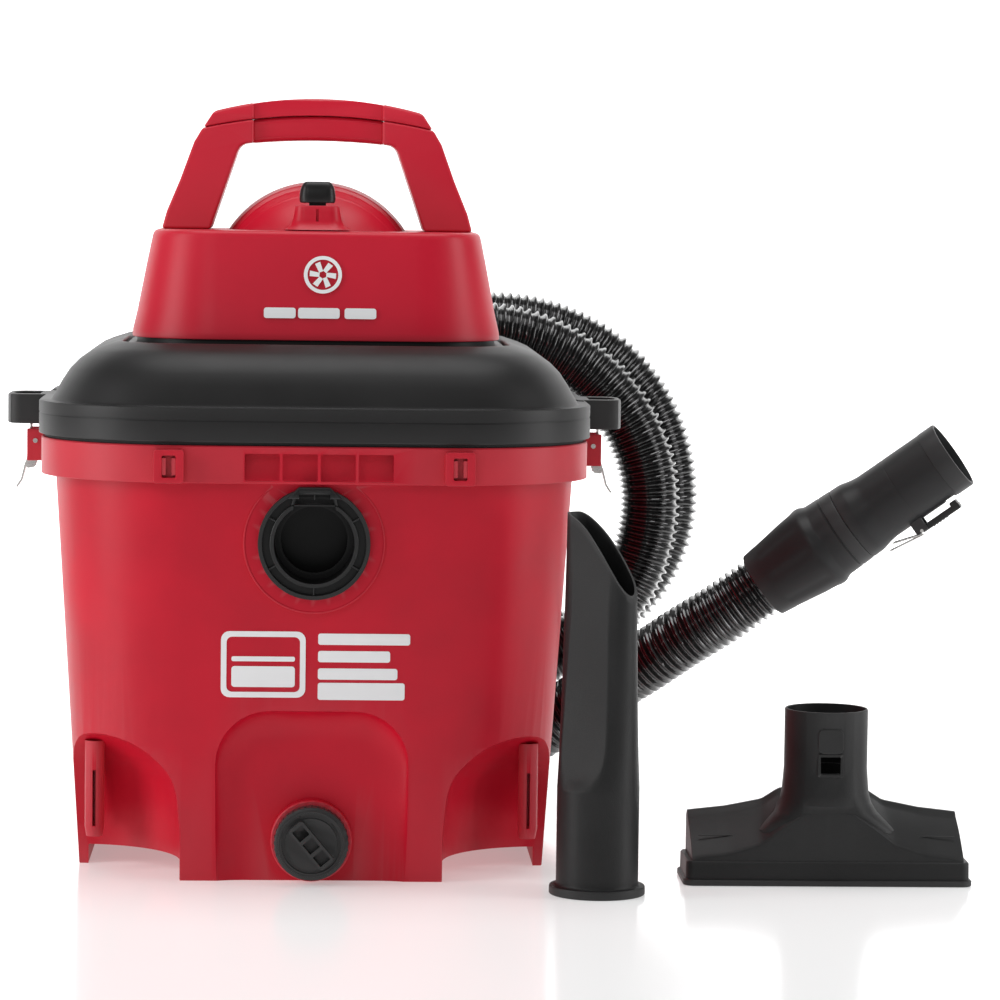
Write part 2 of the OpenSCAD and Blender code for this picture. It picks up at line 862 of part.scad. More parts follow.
module crevice_tool() {
    color([0.17, 0.17, 0.17]) translate(crevice_at) rotate(crevice_turn) difference() {
        union() {
            cylinder(r = 33, h = 86);
            cylinder(r = 38.5, h = 7);
            crevice_blade(0, 85, crevice_h);
        }
        translate([0, 0, -1]) cylinder(r = socket_r, h = 77);
        translate([0, 0, 70]) cylinder(r = 29, h = 17);
        crevice_blade(2.2, 84, crevice_h + 2);
        translate([31, 0, crevice_h - 68]) rotate([0, 48, 0])
            translate([-150, -60, 0]) cube([300, 120, 120]);
    }
}

// The nozzle's wings: a wedge that is low in front and high behind, drawn inwards by g.
module nozzle_wings(g) {
    rotate([90, 0, 90]) linear_extrude(height = 2 * (nozzle_half - 7 - g), center = true) polygon([
        [g - 31, 12], [g - 31, 25 - g], [-24 + g, 30 - g], [12, 49 - g], [24 - g, 54 - g],
        [31 - g, 52 - g], [31 - g, 12]
    ]);
}

// The neck from the foot up to the collar, drawn inwards by g.
module nozzle_neck(g) {
    hull() {
        translate([0, 0, 18 - g]) linear_extrude(height = 1)
            round_rect(60 - g, 31 - g, 20, $fn = 32);
        translate([0, 0, 88]) cylinder(r = 34 - g, h = 1, $fn = 48);
    }
}

module utility_nozzle() {
    color([0.15, 0.15, 0.15]) translate(nozzle_at) difference() {
        union() {
            linear_extrude(height = 20) round_rect(nozzle_half, 35, 9);
            nozzle_wings(0);
            nozzle_neck(0);
            translate([0, 0, 80]) cylinder(r = 34, h = nozzle_h - 80);
        }
        translate([0, 0, -1]) linear_extrude(height = 18)
            round_rect(nozzle_half - 6, 29, 6);
        nozzle_wings(3);
        nozzle_neck(3);
        translate([0, 0, 84]) cylinder(r = 29, h = 10);
        translate([0, 0, 92]) cylinder(r = socket_r, h = 80);
    }
}

tank();
inlet_port();
inlet_gasket();
inlet_deflector();
latch_pivot_pins();
drain_washer();
drain_cap();
lid();
lid_gasket();
head_shell();
motor_dome();
carry_handle();
handle_cap();
handle_screws();
head_screws();
switch_housing();
switch_pin();
cord_gland();
blower_port();
motor_housing();
stator_core();
field_coils();
brush_holders();
carbon_brushes();
motor_bearings();
impeller_housing();
filter_cage();
hose_plug();
hose();
cuff_sleeve();
switch_cap();
motor_shaft();
rotor_core();
rotor_windings();
commutator();
cooling_fan();
impeller();
impeller_nut();
float_ball();
filter_cartridge();
filter_end_caps();
filter_retainer();
retainer_knob();
latch_lever_left();
link_pin_left();
latch_strap_left();
latch_lever_right();
link_pin_right();
latch_strap_right();
cuff_tube();
latch_pin();
cuff_latch();
latch_spring();
crevice_tool();
utility_nozzle();
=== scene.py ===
"""Looks of a wet/dry shop vacuum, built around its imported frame.

Sizes in the classes are millimetres in the frame's own axes: +Z up, front towards -Y, origin on the floor
under the centre of the tank. Shapes become metres when they are made into meshes.
"""

import json
import logging
import math
from dataclasses import dataclass, field
from enum import Enum
from typing import Iterable, Sequence

import bmesh
import bpy
import numpy as np
from mathutils import Matrix, Vector


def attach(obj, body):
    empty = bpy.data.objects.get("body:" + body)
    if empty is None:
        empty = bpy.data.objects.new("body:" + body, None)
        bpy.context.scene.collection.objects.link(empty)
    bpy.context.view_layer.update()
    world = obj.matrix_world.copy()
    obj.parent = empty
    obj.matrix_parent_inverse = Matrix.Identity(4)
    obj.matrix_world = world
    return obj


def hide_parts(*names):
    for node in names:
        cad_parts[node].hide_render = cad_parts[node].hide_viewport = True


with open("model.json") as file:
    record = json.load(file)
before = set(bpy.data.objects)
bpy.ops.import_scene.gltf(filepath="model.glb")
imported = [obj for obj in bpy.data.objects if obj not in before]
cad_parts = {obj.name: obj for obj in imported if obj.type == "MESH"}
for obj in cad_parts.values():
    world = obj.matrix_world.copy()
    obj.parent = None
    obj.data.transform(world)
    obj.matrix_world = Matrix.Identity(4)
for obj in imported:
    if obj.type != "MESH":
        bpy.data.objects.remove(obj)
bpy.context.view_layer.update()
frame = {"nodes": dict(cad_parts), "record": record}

MM = 0.001
FULL_TURN = 2 * math.pi
INK = 0.35  # how far a print stands out, in millimetres
CORNERS = [(x, y) for x in (-1, 1) for y in (-1, 1)]
LOG = logging.getLogger("vacuum")

Colour = tuple[float, float, float]
Point = tuple[float, float, float]
Outline = Sequence[tuple[float, float]]


# ---------- shapes ----------


class Ends(Enum):
    """How a skin over rings is closed."""

    POLES = "a point in the middle of each end"
    LOOP = "the last ring meets the first"


def rect_reach(angles: np.ndarray, half_x: float, half_y: float, corner: float) -> np.ndarray:
    """Distance from the middle of a round-cornered rectangle to its edge.

    Args:
        angles: directions from the middle, in radians.
        half_x: half of its width.
        half_y: half of its depth.
        corner: radius of its corners.

    Returns:
        One distance for each direction.
    """
    cos, sin = np.abs(np.cos(angles)), np.abs(np.sin(angles))
    flat = np.minimum(half_x / np.maximum(cos, 1e-9), half_y / np.maximum(sin, 1e-9))
    mid_x, mid_y = half_x - corner, half_y - corner
    along = cos * mid_x + sin * mid_y
    inside = along**2 - mid_x**2 - mid_y**2 + corner**2
    curved = along + np.sqrt(np.maximum(inside, 0))
    return np.where((flat * cos > mid_x) & (flat * sin > mid_y), curved, flat)


def eased(points: Outline, radius: float, steps: int = 3) -> list[tuple[float, float]]:
    """Rounds the inner corners of an open outline.

    Args:
        points: the outline.
        radius: how far from each corner the bend starts, at most.
        steps: pieces of each bend.

    Returns:
        The outline with a short curve at each corner.
    """
    corners = [Vector(p) for p in points]
    made = [tuple(corners[0])]
    for before, here, after in zip(corners, corners[1:], corners[2:]):
        start = here + (before - here).normalized() * min(radius, (before - here).length * 0.45)
        end = here + (after - here).normalized() * min(radius, (after - here).length * 0.45)
        for step in range(steps + 1):
            t = step / steps
            made.append(tuple(start * (1 - t) ** 2 + here * (2 * t * (1 - t)) + end * t * t))
    made.append(tuple(corners[-1]))
    return made


def rect_outline(half_x: float, half_y: float, corner: float, bend: int = 5) -> list[tuple[float, float]]:
    """Points of a round-cornered rectangle, anticlockwise.

    Args:
        half_x: half of its width.
        half_y: half of its height.
        corner: radius of its corners.
        bend: steps round each corner.

    Returns:
        The outline's points.
    """
    made = []
    for number, (sx, sy) in enumerate([(1, 1), (-1, 1), (-1, -1), (1, -1)]):
        for step in range(bend + 1):
            turn = (number + step / bend) * math.pi / 2
            made.append((sx * (half_x - corner) + corner * math.cos(turn),
                         sy * (half_y - corner) + corner * math.sin(turn)))
    return made


def linked(name: str, data: bpy.types.ID) -> bpy.types.Object:
    """A new object that holds this data, in the scene.

    Args:
        name: the object's name.
        data: its mesh, curve, light or camera.

    Returns:
        The object, linked to the scene.
    """
    made = bpy.data.objects.new(name, data)
    bpy.context.scene.collection.objects.link(made)
    return made


class Shape:
    """Points in millimetres and the faces between them, before they become a mesh."""

    def __init__(self) -> None:
        """Starts with nothing in it."""
        self.points = np.zeros((0, 3))
        self.faces: list[tuple[int, ...]] = []

    @classmethod
    def from_mesh(cls, mesh: bpy.types.Mesh) -> "Shape":
        """The points and faces of a mesh in metres."""
        return cls().add([v.co / MM for v in mesh.vertices], [tuple(p.vertices) for p in mesh.polygons])

    def add(self, points: Iterable, faces: Iterable[Sequence[int]]) -> "Shape":
        """Adds points and the faces between them, counted from the first of these points.

        Args:
            points: the new points, in millimetres.
            faces: the new faces, as numbers of these points.

        Returns:
            This shape.
        """
        start = len(self.points)
        self.points = np.vstack([self.points, np.asarray(list(points), float).reshape(-1, 3)])
        self.faces += [tuple(start + i for i in face) for face in faces]
        return self

    def join(self, *others: "Shape") -> "Shape":
        """Adds other shapes to this one.

        Args:
            others: the shapes to add.

        Returns:
            This shape.
        """
        for other in others:
            self.add(other.points, other.faces)
        return self

    def placed(self, matrix: Matrix) -> "Shape":
        """A copy moved by a matrix.

        Args:
            matrix: the move, in millimetres; it may mirror.

        Returns:
            The copy, turned the right way out.
        """
        made = Shape()
        turn = np.array(matrix.to_3x3())
        faces = self.faces if np.linalg.det(turn) > 0 else [tuple(reversed(f)) for f in self.faces]
        return made.add(self.points @ turn.T + np.array(matrix.translation), faces)

    def mesh(self, name: str) -> bpy.types.Mesh:
        """The shape as a mesh in metres.

        Args:
            name: the mesh's name.

        Returns:
            A new mesh.
        """
        made = bpy.data.meshes.new(name)
        made.from_pydata((self.points * MM).tolist(), [], self.faces)
        made.update()
        return made

    def bevelled(self, width: float, angle: float = 35.0, segments: int = 2) -> "Shape":
        """A copy whose sharp edges are rounded.

        Args:
            width: width of the rounding.
            angle: least angle in degrees between two faces at a sharp edge.
            segments: steps of the rounding.

        Returns:
            The rounded copy.
        """
        work = bmesh.new()
        work.from_mesh(self.mesh("work"))
        bmesh.ops.remove_doubles(work, verts=work.verts, dist=1e-6)
        edges = [e for e in work.edges if e.is_manifold and e.calc_face_angle(0) > math.radians(angle)]
        bmesh.ops.bevel(work, geom=edges, offset=width * MM, segments=segments, profile=0.5,
                        affect="EDGES", clamp_overlap=True)
        made = Shape().add([v.co / MM for v in work.verts], [[v.index for v in f.verts] for f in work.faces])
        work.free()
        return made

    def solved(self, operation: str, others: Sequence["Shape"]) -> "Shape":
        """A copy after an exact boolean with each of the other shapes in turn.

        Args:
            operation: the boolean's name.
            others: the shapes that it is done with.

        Returns:
            The copy.
        """
        body = linked("cut_body", self.mesh("cut_body"))
        tools = [linked("cut_tool", other.mesh("cut_tool")) for other in others]
        for tool in tools:
            step = body.modifiers.new("cut", "BOOLEAN")
            step.operation, step.solver, step.object = operation, "EXACT", tool
        made = Shape.from_mesh(evaluated_mesh(body))
        for thing in [body, *tools]:
            bpy.data.objects.remove(thing)
        return made

    def cut(self, *others: "Shape") -> "Shape":
        """A copy with the other shapes taken out of it."""
        return self.solved("DIFFERENCE", others)

    def kept(self, other: "Shape") -> "Shape":
        """A copy of what this shape shares with another."""
        return self.solved("INTERSECT", [other])

    def merged(self, *others: "Shape") -> "Shape":
        """A copy made one with the other shapes."""
        return self.solved("UNION", others)


def evaluated_mesh(thing: bpy.types.Object) -> bpy.types.Mesh:
    """The plain mesh that an object's modifiers make."""
    bpy.context.view_layer.update()
    return bpy.data.meshes.new_from_object(thing.evaluated_get(bpy.context.evaluated_depsgraph_get()))


def even_shading(mesh: bpy.types.Mesh, smooth: float) -> bpy.types.Mesh:
    """A copy of a mesh shaded smooth, with its normals weighted by area and its sharp edges kept.

    Args:
        mesh: the mesh.
        smooth: least angle in degrees that stays a sharp edge.

    Returns:
        The shaded copy.
    """
    mesh.shade_smooth()
    mesh.set_sharp_from_angle(angle=math.radians(smooth))
    thing = linked("shading", mesh)
    step = thing.modifiers.new("even", "WEIGHTED_NORMAL")
    step.keep_sharp = True
    made = evaluated_mesh(thing)
    bpy.data.objects.remove(thing)
    return made


class Skin:
    """A closed skin laid over rings that all have the same number of points.

    Each column of points leaves a point of an inner rectangle, the core, along its own outward direction.
    """

    def __init__(self, spread: np.ndarray, outward: np.ndarray, core: tuple[float, float]) -> None:
        """Starts a skin with no rings.

        Args:
            spread: each column's share of the core's half sizes.
            outward: each column's outward direction.
            core: the core's half sizes.
        """
        self.spread, self.outward, self.core = spread, outward, core
        away = spread * np.array(core) + outward * 50
        self.unit = away / np.linalg.norm(away, axis=1)[:, None]
        self.bearing = np.arctan2(self.unit[:, 1], self.unit[:, 0])
        self.rings: list[np.ndarray] = []

    @classmethod
    def round(cls, sides: int) -> "Skin":
        """A skin whose columns are spread evenly round +Z."""
        turn = np.arange(sides) * FULL_TURN / sides
        return cls(np.zeros((sides, 2)), np.stack([np.cos(turn), np.sin(turn)], 1), (0.0, 0.0))

    @classmethod
    def boxed(cls, core_x: float, core_y: float, flats: int, bend: int) -> "Skin":
        """A skin round a rectangular core, with some columns on each flat and some round each corner.

        Args:
            core_x: half of the core's width.
            core_y: half of the core's depth.
            flats: columns on each flat side.
            bend: steps round each corner.

        Returns:
            A skin with no rings.
        """
        corners = [(1, 1), (-1, 1), (-1, -1), (1, -1)]
        spread, outward = [], []
        for quarter, here in enumerate(corners):
            after = corners[(quarter + 1) % 4]
            for turn in np.linspace(quarter, quarter + 1, bend + 1) * math.pi / 2:
                spread.append(here)
                outward.append((math.cos(turn), math.sin(turn)))
            for share in np.linspace(0, 1, flats + 2)[1:-1]:
                spread.append(tuple(a + (b - a) * share for a, b in zip(here, after)))
                outward.append(outward[-1])
        return cls(np.array(spread, float), np.array(outward), (core_x, core_y))

    def ring(self, offset: float | np.ndarray, height: float | np.ndarray,
             core: tuple[float, float] | None = None) -> "Skin":
        """Adds a ring round the core.

        Args:
            offset: how far the ring stands off the core, for all columns or for each.
            height: the ring's height, for all columns or for each.
            core: another core's half sizes, for this ring only.

        Returns:
            This skin.
        """
        centres = self.spread * np.array(core or self.core)
        flat = centres + self.outward * np.broadcast_to(offset, len(self.spread))[:, None]
        self.rings.append(np.column_stack([flat, np.broadcast_to(height, len(self.spread))]))
        return self

    def circle(self, radius: float, height: float) -> "Skin":
        """Adds a round ring, whatever the core."""
        self.rings.append(np.column_stack([self.unit * radius, np.full(len(self.unit), height)]))
        return self

    def shape(self, ends: Ends) -> Shape:
        """The skin as a shape whose faces point outwards where its rings go up outside and down inside.

        Args:
            ends: how the skin is closed.

        Returns:
            The shape.
        """
        count, rows = len(self.spread), len(self.rings)
        points = np.vstack(self.rings)
        pairs = [(row, row + 1) for row in range(rows - 1)]
        if ends is Ends.LOOP:
            pairs.append((rows - 1, 0))
        faces = [(low * count + k, low * count + (k + 1) % count,
                  high * count + (k + 1) % count, high * count + k)
                 for low, high in pairs for k in range(count)]
        if ends is Ends.POLES:
            first, last = rows * count, rows * count + 1
            top = (rows - 1) * count
            points = np.vstack([points, self.rings[0].mean(0), self.rings[-1].mean(0)])
            faces += [(first, (k + 1) % count, k) for k in range(count)]
            faces += [(last, top + k, top + (k + 1) % count) for k in range(count)]
        return Shape().add(points, faces)


def turned(profile: Outline, ends: Ends = Ends.LOOP, sides: int = 72) -> Shape:
    """A shape of (radius, height) points turned about +Z; the points go up outside and down inside.

    Args:
        profile: the (radius, height) points.
        ends: how the skin is closed.
        sides: steps round the axis.

    Returns:
        The turned shape.
    """
    skin = Skin.round(sides)
    for radius, height in profile:
        skin.ring(radius, height)
    return skin.shape(ends)


def prism(outline: Outline, low: float, high: float) -> Shape:
    """An outline in X and Y, anticlockwise, raised along +Z.

    Args:
        outline: the outline's points.
        low: height of its foot.
        high: height of its top.

    Returns:
        The raised shape.
    """
    count = len(outline)
    points = [(x, y, low) for x, y in outline] + [(x, y, high) for x, y in outline]
    faces = [tuple(range(count - 1, -1, -1)), tuple(range(count, 2 * count))]
    faces += [(k, (k + 1) % count, count + (k + 1) % count, count + k) for k in range(count)]
    return Shape().add(points, faces)


def frame_prism(outer: Outline, inner: Outline, low: float, high: float) -> Shape:
    """A wall between two outlines of the same number of points.

    Args:
        outer: the outer outline.
        inner: the inner outline.
        low: height of its foot.
        high: height of its top.

    Returns:
        The ring-like wall.
    """
    count = len(outer)
    loops = [(outer, low), (outer, high), (inner, high), (inner, low)]
    points = [(x, y, z) for loop, z in loops for x, y in loop]
    faces = [(a * count + k, a * count + (k + 1) % count, b * count + (k + 1) % count, b * count + k)
             for a, b in ((0, 1), (1, 2), (2, 3), (3, 0)) for k in range(count)]
    return Shape().add(points, faces)


def block(size: Sequence[float], centre: Sequence[float], round_by: float = 0.8) -> Shape:
    """A box of a size about a centre, with its edges rounded.

    Args:
        size: its width, depth and height.
        centre: its middle.
        round_by: width of its edges' rounding, or 0 for sharp edges.

    Returns:
        The box.
    """
    x, y, z = (s / 2 for s in size)
    made = prism([(x, y), (-x, y), (-x, -y), (x, -y)], -z, z).placed(Matrix.Translation(centre))
    return made.bevelled(round_by) if round_by else made


def facing_front(x: float, y: float, z: float) -> Matrix:
    """Takes what is drawn along +Z to stand out along -Y at a point, with its +Y upwards."""
    return Matrix.Translation((x, y, z)) @ Matrix.Rotation(math.pi / 2, 4, "X")


# ---------- finishes ----------


class Nodes:
    """A short way to add and join the nodes of a tree."""

    def __init__(self, tree: bpy.types.NodeTree) -> None:
        """Works on this tree."""
        self.tree = tree

    def add(self, kind: str, inputs: dict | None = None, **settings: object) -> bpy.types.Node:
        """Adds a node.

        Args:
            kind: the node's type name.
            inputs: what each input takes, by its name or number: a value, or another node's output.
            settings: the node's own properties.

        Returns:
            The new node.
        """
        made = self.tree.nodes.new(kind)
        for name, value in settings.items():
            setattr(made, name, value)
        self.feed(made, inputs or {})
        return made

    def feed(self, node: bpy.types.Node, inputs: dict) -> None:
        """Gives each named input of a node a value, or another node's output.

        Args:
            node: the node.
            inputs: what each input takes, by its name or number.
        """
        for key, value in inputs.items():
            if isinstance(value, bpy.types.NodeSocket):
                self.tree.links.new(value, node.inputs[key])
            else:
                node.inputs[key].default_value = value

    def noise(self, where: bpy.types.NodeSocket, scale: float, detail: float = 3.0) -> bpy.types.NodeSocket:
        """Soft noise from 0 to 1 at a scale per metre."""
        return self.add("ShaderNodeTexNoise", {"Vector": where, "Scale": scale, "Detail": detail}).outputs[0]

    def remap(self, value: bpy.types.NodeSocket, low: float, high: float,
              new_low: float, new_high: float) -> bpy.types.NodeSocket:
        """Moves a value from one range to another and holds it there."""
        return self.add("ShaderNodeMapRange", {0: value, 1: low, 2: high, 3: new_low, 4: new_high}).outputs[0]

    def bump(self, height: bpy.types.NodeSocket, strength: float, depth: float) -> bpy.types.NodeSocket:
        """Normals for a height whose depth is in millimetres."""
        inputs = {"Height": height, "Strength": strength, "Distance": depth * MM}
        return self.add("ShaderNodeBump", inputs).outputs[0]

    def mix(self, share: bpy.types.NodeSocket | float, first: object, second: object) -> bpy.types.NodeSocket:
        """A colour between two colours."""
        made = self.add("ShaderNodeMix", {0: share, 6: first, 7: second}, data_type="RGBA")
        return made.outputs[2]


def new_material(name: str) -> tuple[bpy.types.Material, Nodes, bpy.types.Node, bpy.types.NodeSocket]:
    """A new node material, its tree, its shader and the piece's own coordinates.

    Args:
        name: the material's name.

    Returns:
        The material, its tree, its shader and the coordinates.
    """
    material = bpy.data.materials.new(name)
    material.use_nodes = True
    nodes = Nodes(material.node_tree)
    shader = material.node_tree.nodes["Principled BSDF"]
    where = nodes.add("ShaderNodeTexCoord").outputs["Object"]
    return material, nodes, shader, where


def opaque(colour: Colour) -> tuple[float, float, float, float]:
    """A colour with full cover."""
    return (*colour, 1.0)


def scaled(colour: Colour, by: float) -> tuple[float, float, float, float]:
    """A colour made darker or lighter."""
    return tuple(min(c * by, 1.0) for c in colour) + (1.0,)


@dataclass(frozen=True)
class Plastic:
    """A moulded plastic or rubber: satin or gloss, with spark grain, faint flow marks, and convex edges painted
    lighter as a painted highlight with some rubbed wear.
    """

    name: str
    slot: str
    colour: Colour
    roughness: float
    grain: float = 0.5
    depth: float = 0.02
    mottle: float = 0.06
    # how much lighter convex edges are painted: a painted highlight along the edges, with some rubbed wear
    rub_and_highlight: float = 0.25
    coat: float = 0.0
    sheen: float = 0.3

    def material(self) -> bpy.types.Material:
        """Builds the finish; grain is the size of its grain and depth its height, in millimetres.

        Returns:
            The material.
        """
        material, nodes, shader, where = new_material(self.name)
        broad = nodes.noise(where, 14.0, 4.0)
        fine = nodes.noise(where, 1 / (self.grain * MM), 2.0)
        shade = nodes.mix(nodes.remap(broad, 0.3, 0.7, 0, 1), scaled(self.colour, 1 - self.mottle),
                          scaled(self.colour, 1 + self.mottle))
        speck = nodes.mix(nodes.remap(fine, 0.35, 0.65, 0, self.mottle), shade, scaled(self.colour, 1.6))
        # Convex edges are painted lighter here: a painted highlight standing in for light on rounded edges,
        # with some rubbed wear.
        edge = nodes.remap(nodes.add("ShaderNodeNewGeometry").outputs["Pointiness"], 0.52, 0.6, 0, self.rub_and_highlight)
        rubbed_and_highlit = nodes.mix(edge, speck, opaque(tuple(c * 0.75 + 0.12 for c in self.colour)))
        rough = nodes.remap(broad, 0.3, 0.7, self.roughness - 0.04, self.roughness + 0.05)
        nodes.feed(shader, {"Base Color": rubbed_and_highlit, "Roughness": rough,
                            "Normal": nodes.bump(fine, 0.6, self.depth), "Specular IOR Level": self.sheen,
                            "Coat Weight": self.coat, "Coat Roughness": 0.12})
        return material


@dataclass(frozen=True)
class Metal:
    """A metal with fine drawing lines along one axis and faint smudges."""

    name: str
    slot: str
    colour: Colour
    roughness: float
    lines: Colour = (60.0, 60.0, 2500.0)
    depth: float = 0.008

    def material(self) -> bpy.types.Material:
        """Builds the finish; lines is how often the marks repeat along each axis, per metre.

        Returns:
            The material.
        """
        material, nodes, shader, where = new_material(self.name)
        drawn = nodes.add("ShaderNodeMapping", {"Vector": where, "Scale": self.lines}).outputs[0]
        marks = nodes.noise(drawn, 1.0, 3.0)
        smudge = nodes.noise(where, 45.0, 3.0)
        tint = nodes.mix(nodes.remap(smudge, 0.35, 0.7, 0, 1), opaque(self.colour), scaled(self.colour, 0.78))
        rough = nodes.remap(marks, 0.3, 0.7, self.roughness - 0.08, self.roughness + 0.1)
        nodes.feed(shader, {"Base Color": tint, "Metallic": 1.0, "Roughness": rough,
                            "Normal": nodes.bump(marks, 0.5, self.depth)})
        return material


@dataclass(frozen=True)
class Wound:
    """Enamelled wire wound round the upright axis, seen as close turns."""

    name: str
    slot: str
    colour: Colour
    wire: float = 0.9

    def material(self) -> bpy.types.Material:
        """Builds the finish; wire is the wire's thickness in millimetres.

        Returns:
            The material.
        """
        material, nodes, shader, where = new_material(self.name)
        turns = nodes.add("ShaderNodeTexWave", {"Vector": where, "Scale": 1 / (self.wire * MM) / 3.2,
                                                "Distortion": 0.4, "Detail": 1.0},
                          wave_type="BANDS", bands_direction="Z").outputs[1]
        tint = nodes.mix(turns, scaled(self.colour, 0.35), opaque(self.colour))
        nodes.feed(shader, {"Base Color": tint, "Metallic": 0.7, "Roughness": 0.32,
                            "Normal": nodes.bump(turns, 0.8, 0.25)})
        return material


@dataclass(frozen=True)
class Paper:
    """Pleated filter paper with pressed fibres and a little dust."""

    name: str
    slot: str
    colour: Colour

    def material(self) -> bpy.types.Material:
        """Builds the finish.

        Returns:
            The material.
        """
        material, nodes, shader, where = new_material(self.name)
        strands = nodes.add("ShaderNodeMapping", {"Vector": where, "Scale": (900.0, 900.0, 220.0)}).outputs[0]
        fibre = nodes.noise(strands, 1.0, 5.0)
        dust = nodes.noise(where, 22.0, 4.0)
        tint = nodes.mix(nodes.remap(dust, 0.42, 0.75, 0, 1), opaque(self.colour), scaled(self.colour, 0.8))
        pressed = nodes.mix(nodes.remap(fibre, 0.4, 0.7, 0, 0.35), tint, scaled(self.colour, 0.7))
        nodes.feed(shader, {"Base Color": pressed, "Roughness": 0.9, "Normal": nodes.bump(fibre, 0.7, 0.06)})
        return material


RED: Colour = (0.52, 0.003, 0.02)
BLACK: Colour = (0.0085, 0.008, 0.0082)


class Finish(Enum):
    """The finishes of the vacuum's pieces."""

    TANK_RED = Plastic("tank_red_grained", "tank_red", RED, 0.42, 0.45, 0.05, 0.1, 0.35)
    HEAD_RED = Plastic("head_red_satin", "head_red", (0.55, 0.006, 0.026), 0.38, 0.35, 0.012, 0.04, 0.3)
    LID_BLACK = Plastic("lid_black_satin", "lid_black", BLACK, 0.44, 0.4, 0.02, 0.12, 0.25)
    FITTING_BLACK = Plastic("fitting_black_satin", "fitting_black", (0.006, 0.006, 0.0062), 0.34, 0.5, 0.02)
    TOOL_BLACK = Plastic("tool_black_spark", "tool_black", (0.0115, 0.0115, 0.0118), 0.5, 0.8, 0.16, 0.3, 0.3)
    CUFF_GREY = Plastic("cuff_grey_satin", "cuff_grey", (0.017, 0.017, 0.0178), 0.44, 0.5, 0.03, 0.08, 0.3)
    HOSE_BLACK = Plastic("hose_black_gloss", "hose_black", (0.005, 0.005, 0.0052), 0.16, 0.6, 0.01, 0.05, 0.05,
                         coat=0.8, sheen=0.5)
    RUBBER = Plastic("seal_rubber", "seal", (0.018, 0.018, 0.018), 0.72, 0.4, 0.04, 0.15, 0.1)
    NYLON = Plastic("fan_nylon_natural", "fan_nylon", (0.7, 0.68, 0.6), 0.45)
    FLOAT_WHITE = Plastic("float_white_smooth", "float_white", (0.8, 0.8, 0.76), 0.35)
    CARBON = Plastic("brush_carbon", "carbon", (0.02, 0.02, 0.021), 0.6, 0.3, 0.03)
    PRINT_WHITE = Plastic("print_white_ink", "float_white", (0.86, 0.87, 0.88), 0.5, 0.4, 0.004, 0.03, 0.0)
    STEEL = Metal("latch_steel_drawn", "steel", (0.72, 0.71, 0.69), 0.26)
    DARK_STEEL = Metal("core_steel_laminated", "dark_steel", (0.3, 0.3, 0.31), 0.42, (40.0, 40.0, 2000.0), 0.1)
    ALUMINIUM = Metal("impeller_aluminium", "impeller_alu", (0.82, 0.83, 0.84), 0.34)
    BRASS = Metal("brush_brass", "brass", (0.78, 0.56, 0.24), 0.3)
    COPPER = Wound("coil_copper_wound", "copper_wire", (0.72, 0.3, 0.12))
    PAPER = Paper("filter_paper_pleated", "filter_paper", (0.8, 0.77, 0.66))


# ---------- repeating pieces ----------


class Repeat:
    """A Geometry Nodes tree that sets a copy of a unit on each point, each turned a step more than the last."""

    def __init__(self, finish: bpy.types.Material) -> None:
        """Builds the tree and its named inputs.

        Args:
            finish: what the copies wear until their piece is dressed.
        """
        self.finish = finish
        self.tree = bpy.data.node_groups.new("repeat_unit", "GeometryNodeTree")
        face = self.tree.interface
        face.new_socket("Points", in_out="INPUT", socket_type="NodeSocketGeometry")
        self.inputs = {name: face.new_socket(name, in_out="INPUT", socket_type=kind).identifier
                       for name, kind in (("Unit", "NodeSocketObject"), ("Step", "NodeSocketFloat"),
                                          ("Finish", "NodeSocketMaterial"))}
        face.new_socket("Pieces", in_out="OUTPUT", socket_type="NodeSocketGeometry")
        nodes = Nodes(self.tree)
        given = nodes.add("NodeGroupInput").outputs
        unit = nodes.add("GeometryNodeObjectInfo", {"Object": given["Unit"]}).outputs["Geometry"]
        count = nodes.add("GeometryNodeInputIndex").outputs[0]
        angle = nodes.add("ShaderNodeMath", {0: count, 1: given["Step"]}, operation="MULTIPLY").outputs[0]
        turn = nodes.add("ShaderNodeCombineXYZ", {"Z": angle}).outputs[0]
        copies = nodes.add("GeometryNodeInstanceOnPoints",
                           {"Points": given["Points"], "Instance": unit, "Rotation": turn}).outputs[0]
        real = nodes.add("GeometryNodeRealizeInstances", {0: copies}).outputs[0]
        worn = {"Geometry": real, "Material": given["Finish"]}
        nodes.add("NodeGroupOutput", {0: nodes.add("GeometryNodeSetMaterial", worn).outputs[0]})

    def shape(self, unit: Shape, points: Sequence[Sequence[float]], step: float = 0.0) -> Shape:
        """Copies of a unit on points, as one shape.

        Args:
            unit: what is repeated, drawn about the origin.
            points: where each copy goes.
            step: how much further each copy is turned about +Z, in degrees.

        Returns:
            All the copies.
        """
        model = linked("unit", unit.mesh("unit"))
        base = linked("points", Shape().add(points, []).mesh("points"))
        maker = base.modifiers.new("repeat", "NODES")
        maker.node_group = self.tree
        for name, value in (("Unit", model), ("Step", math.radians(step)), ("Finish", self.finish)):
            maker[self.inputs[name]] = value
        made = Shape.from_mesh(evaluated_mesh(base))
        for thing in (model, base):
            bpy.data.objects.remove(thing)
        return made

    def spun(self, unit: Shape, count: int) -> Shape:
        """Copies of a unit spread evenly round +Z."""
        return self.shape(unit, [(0, 0, 0)] * count, 360 / count)


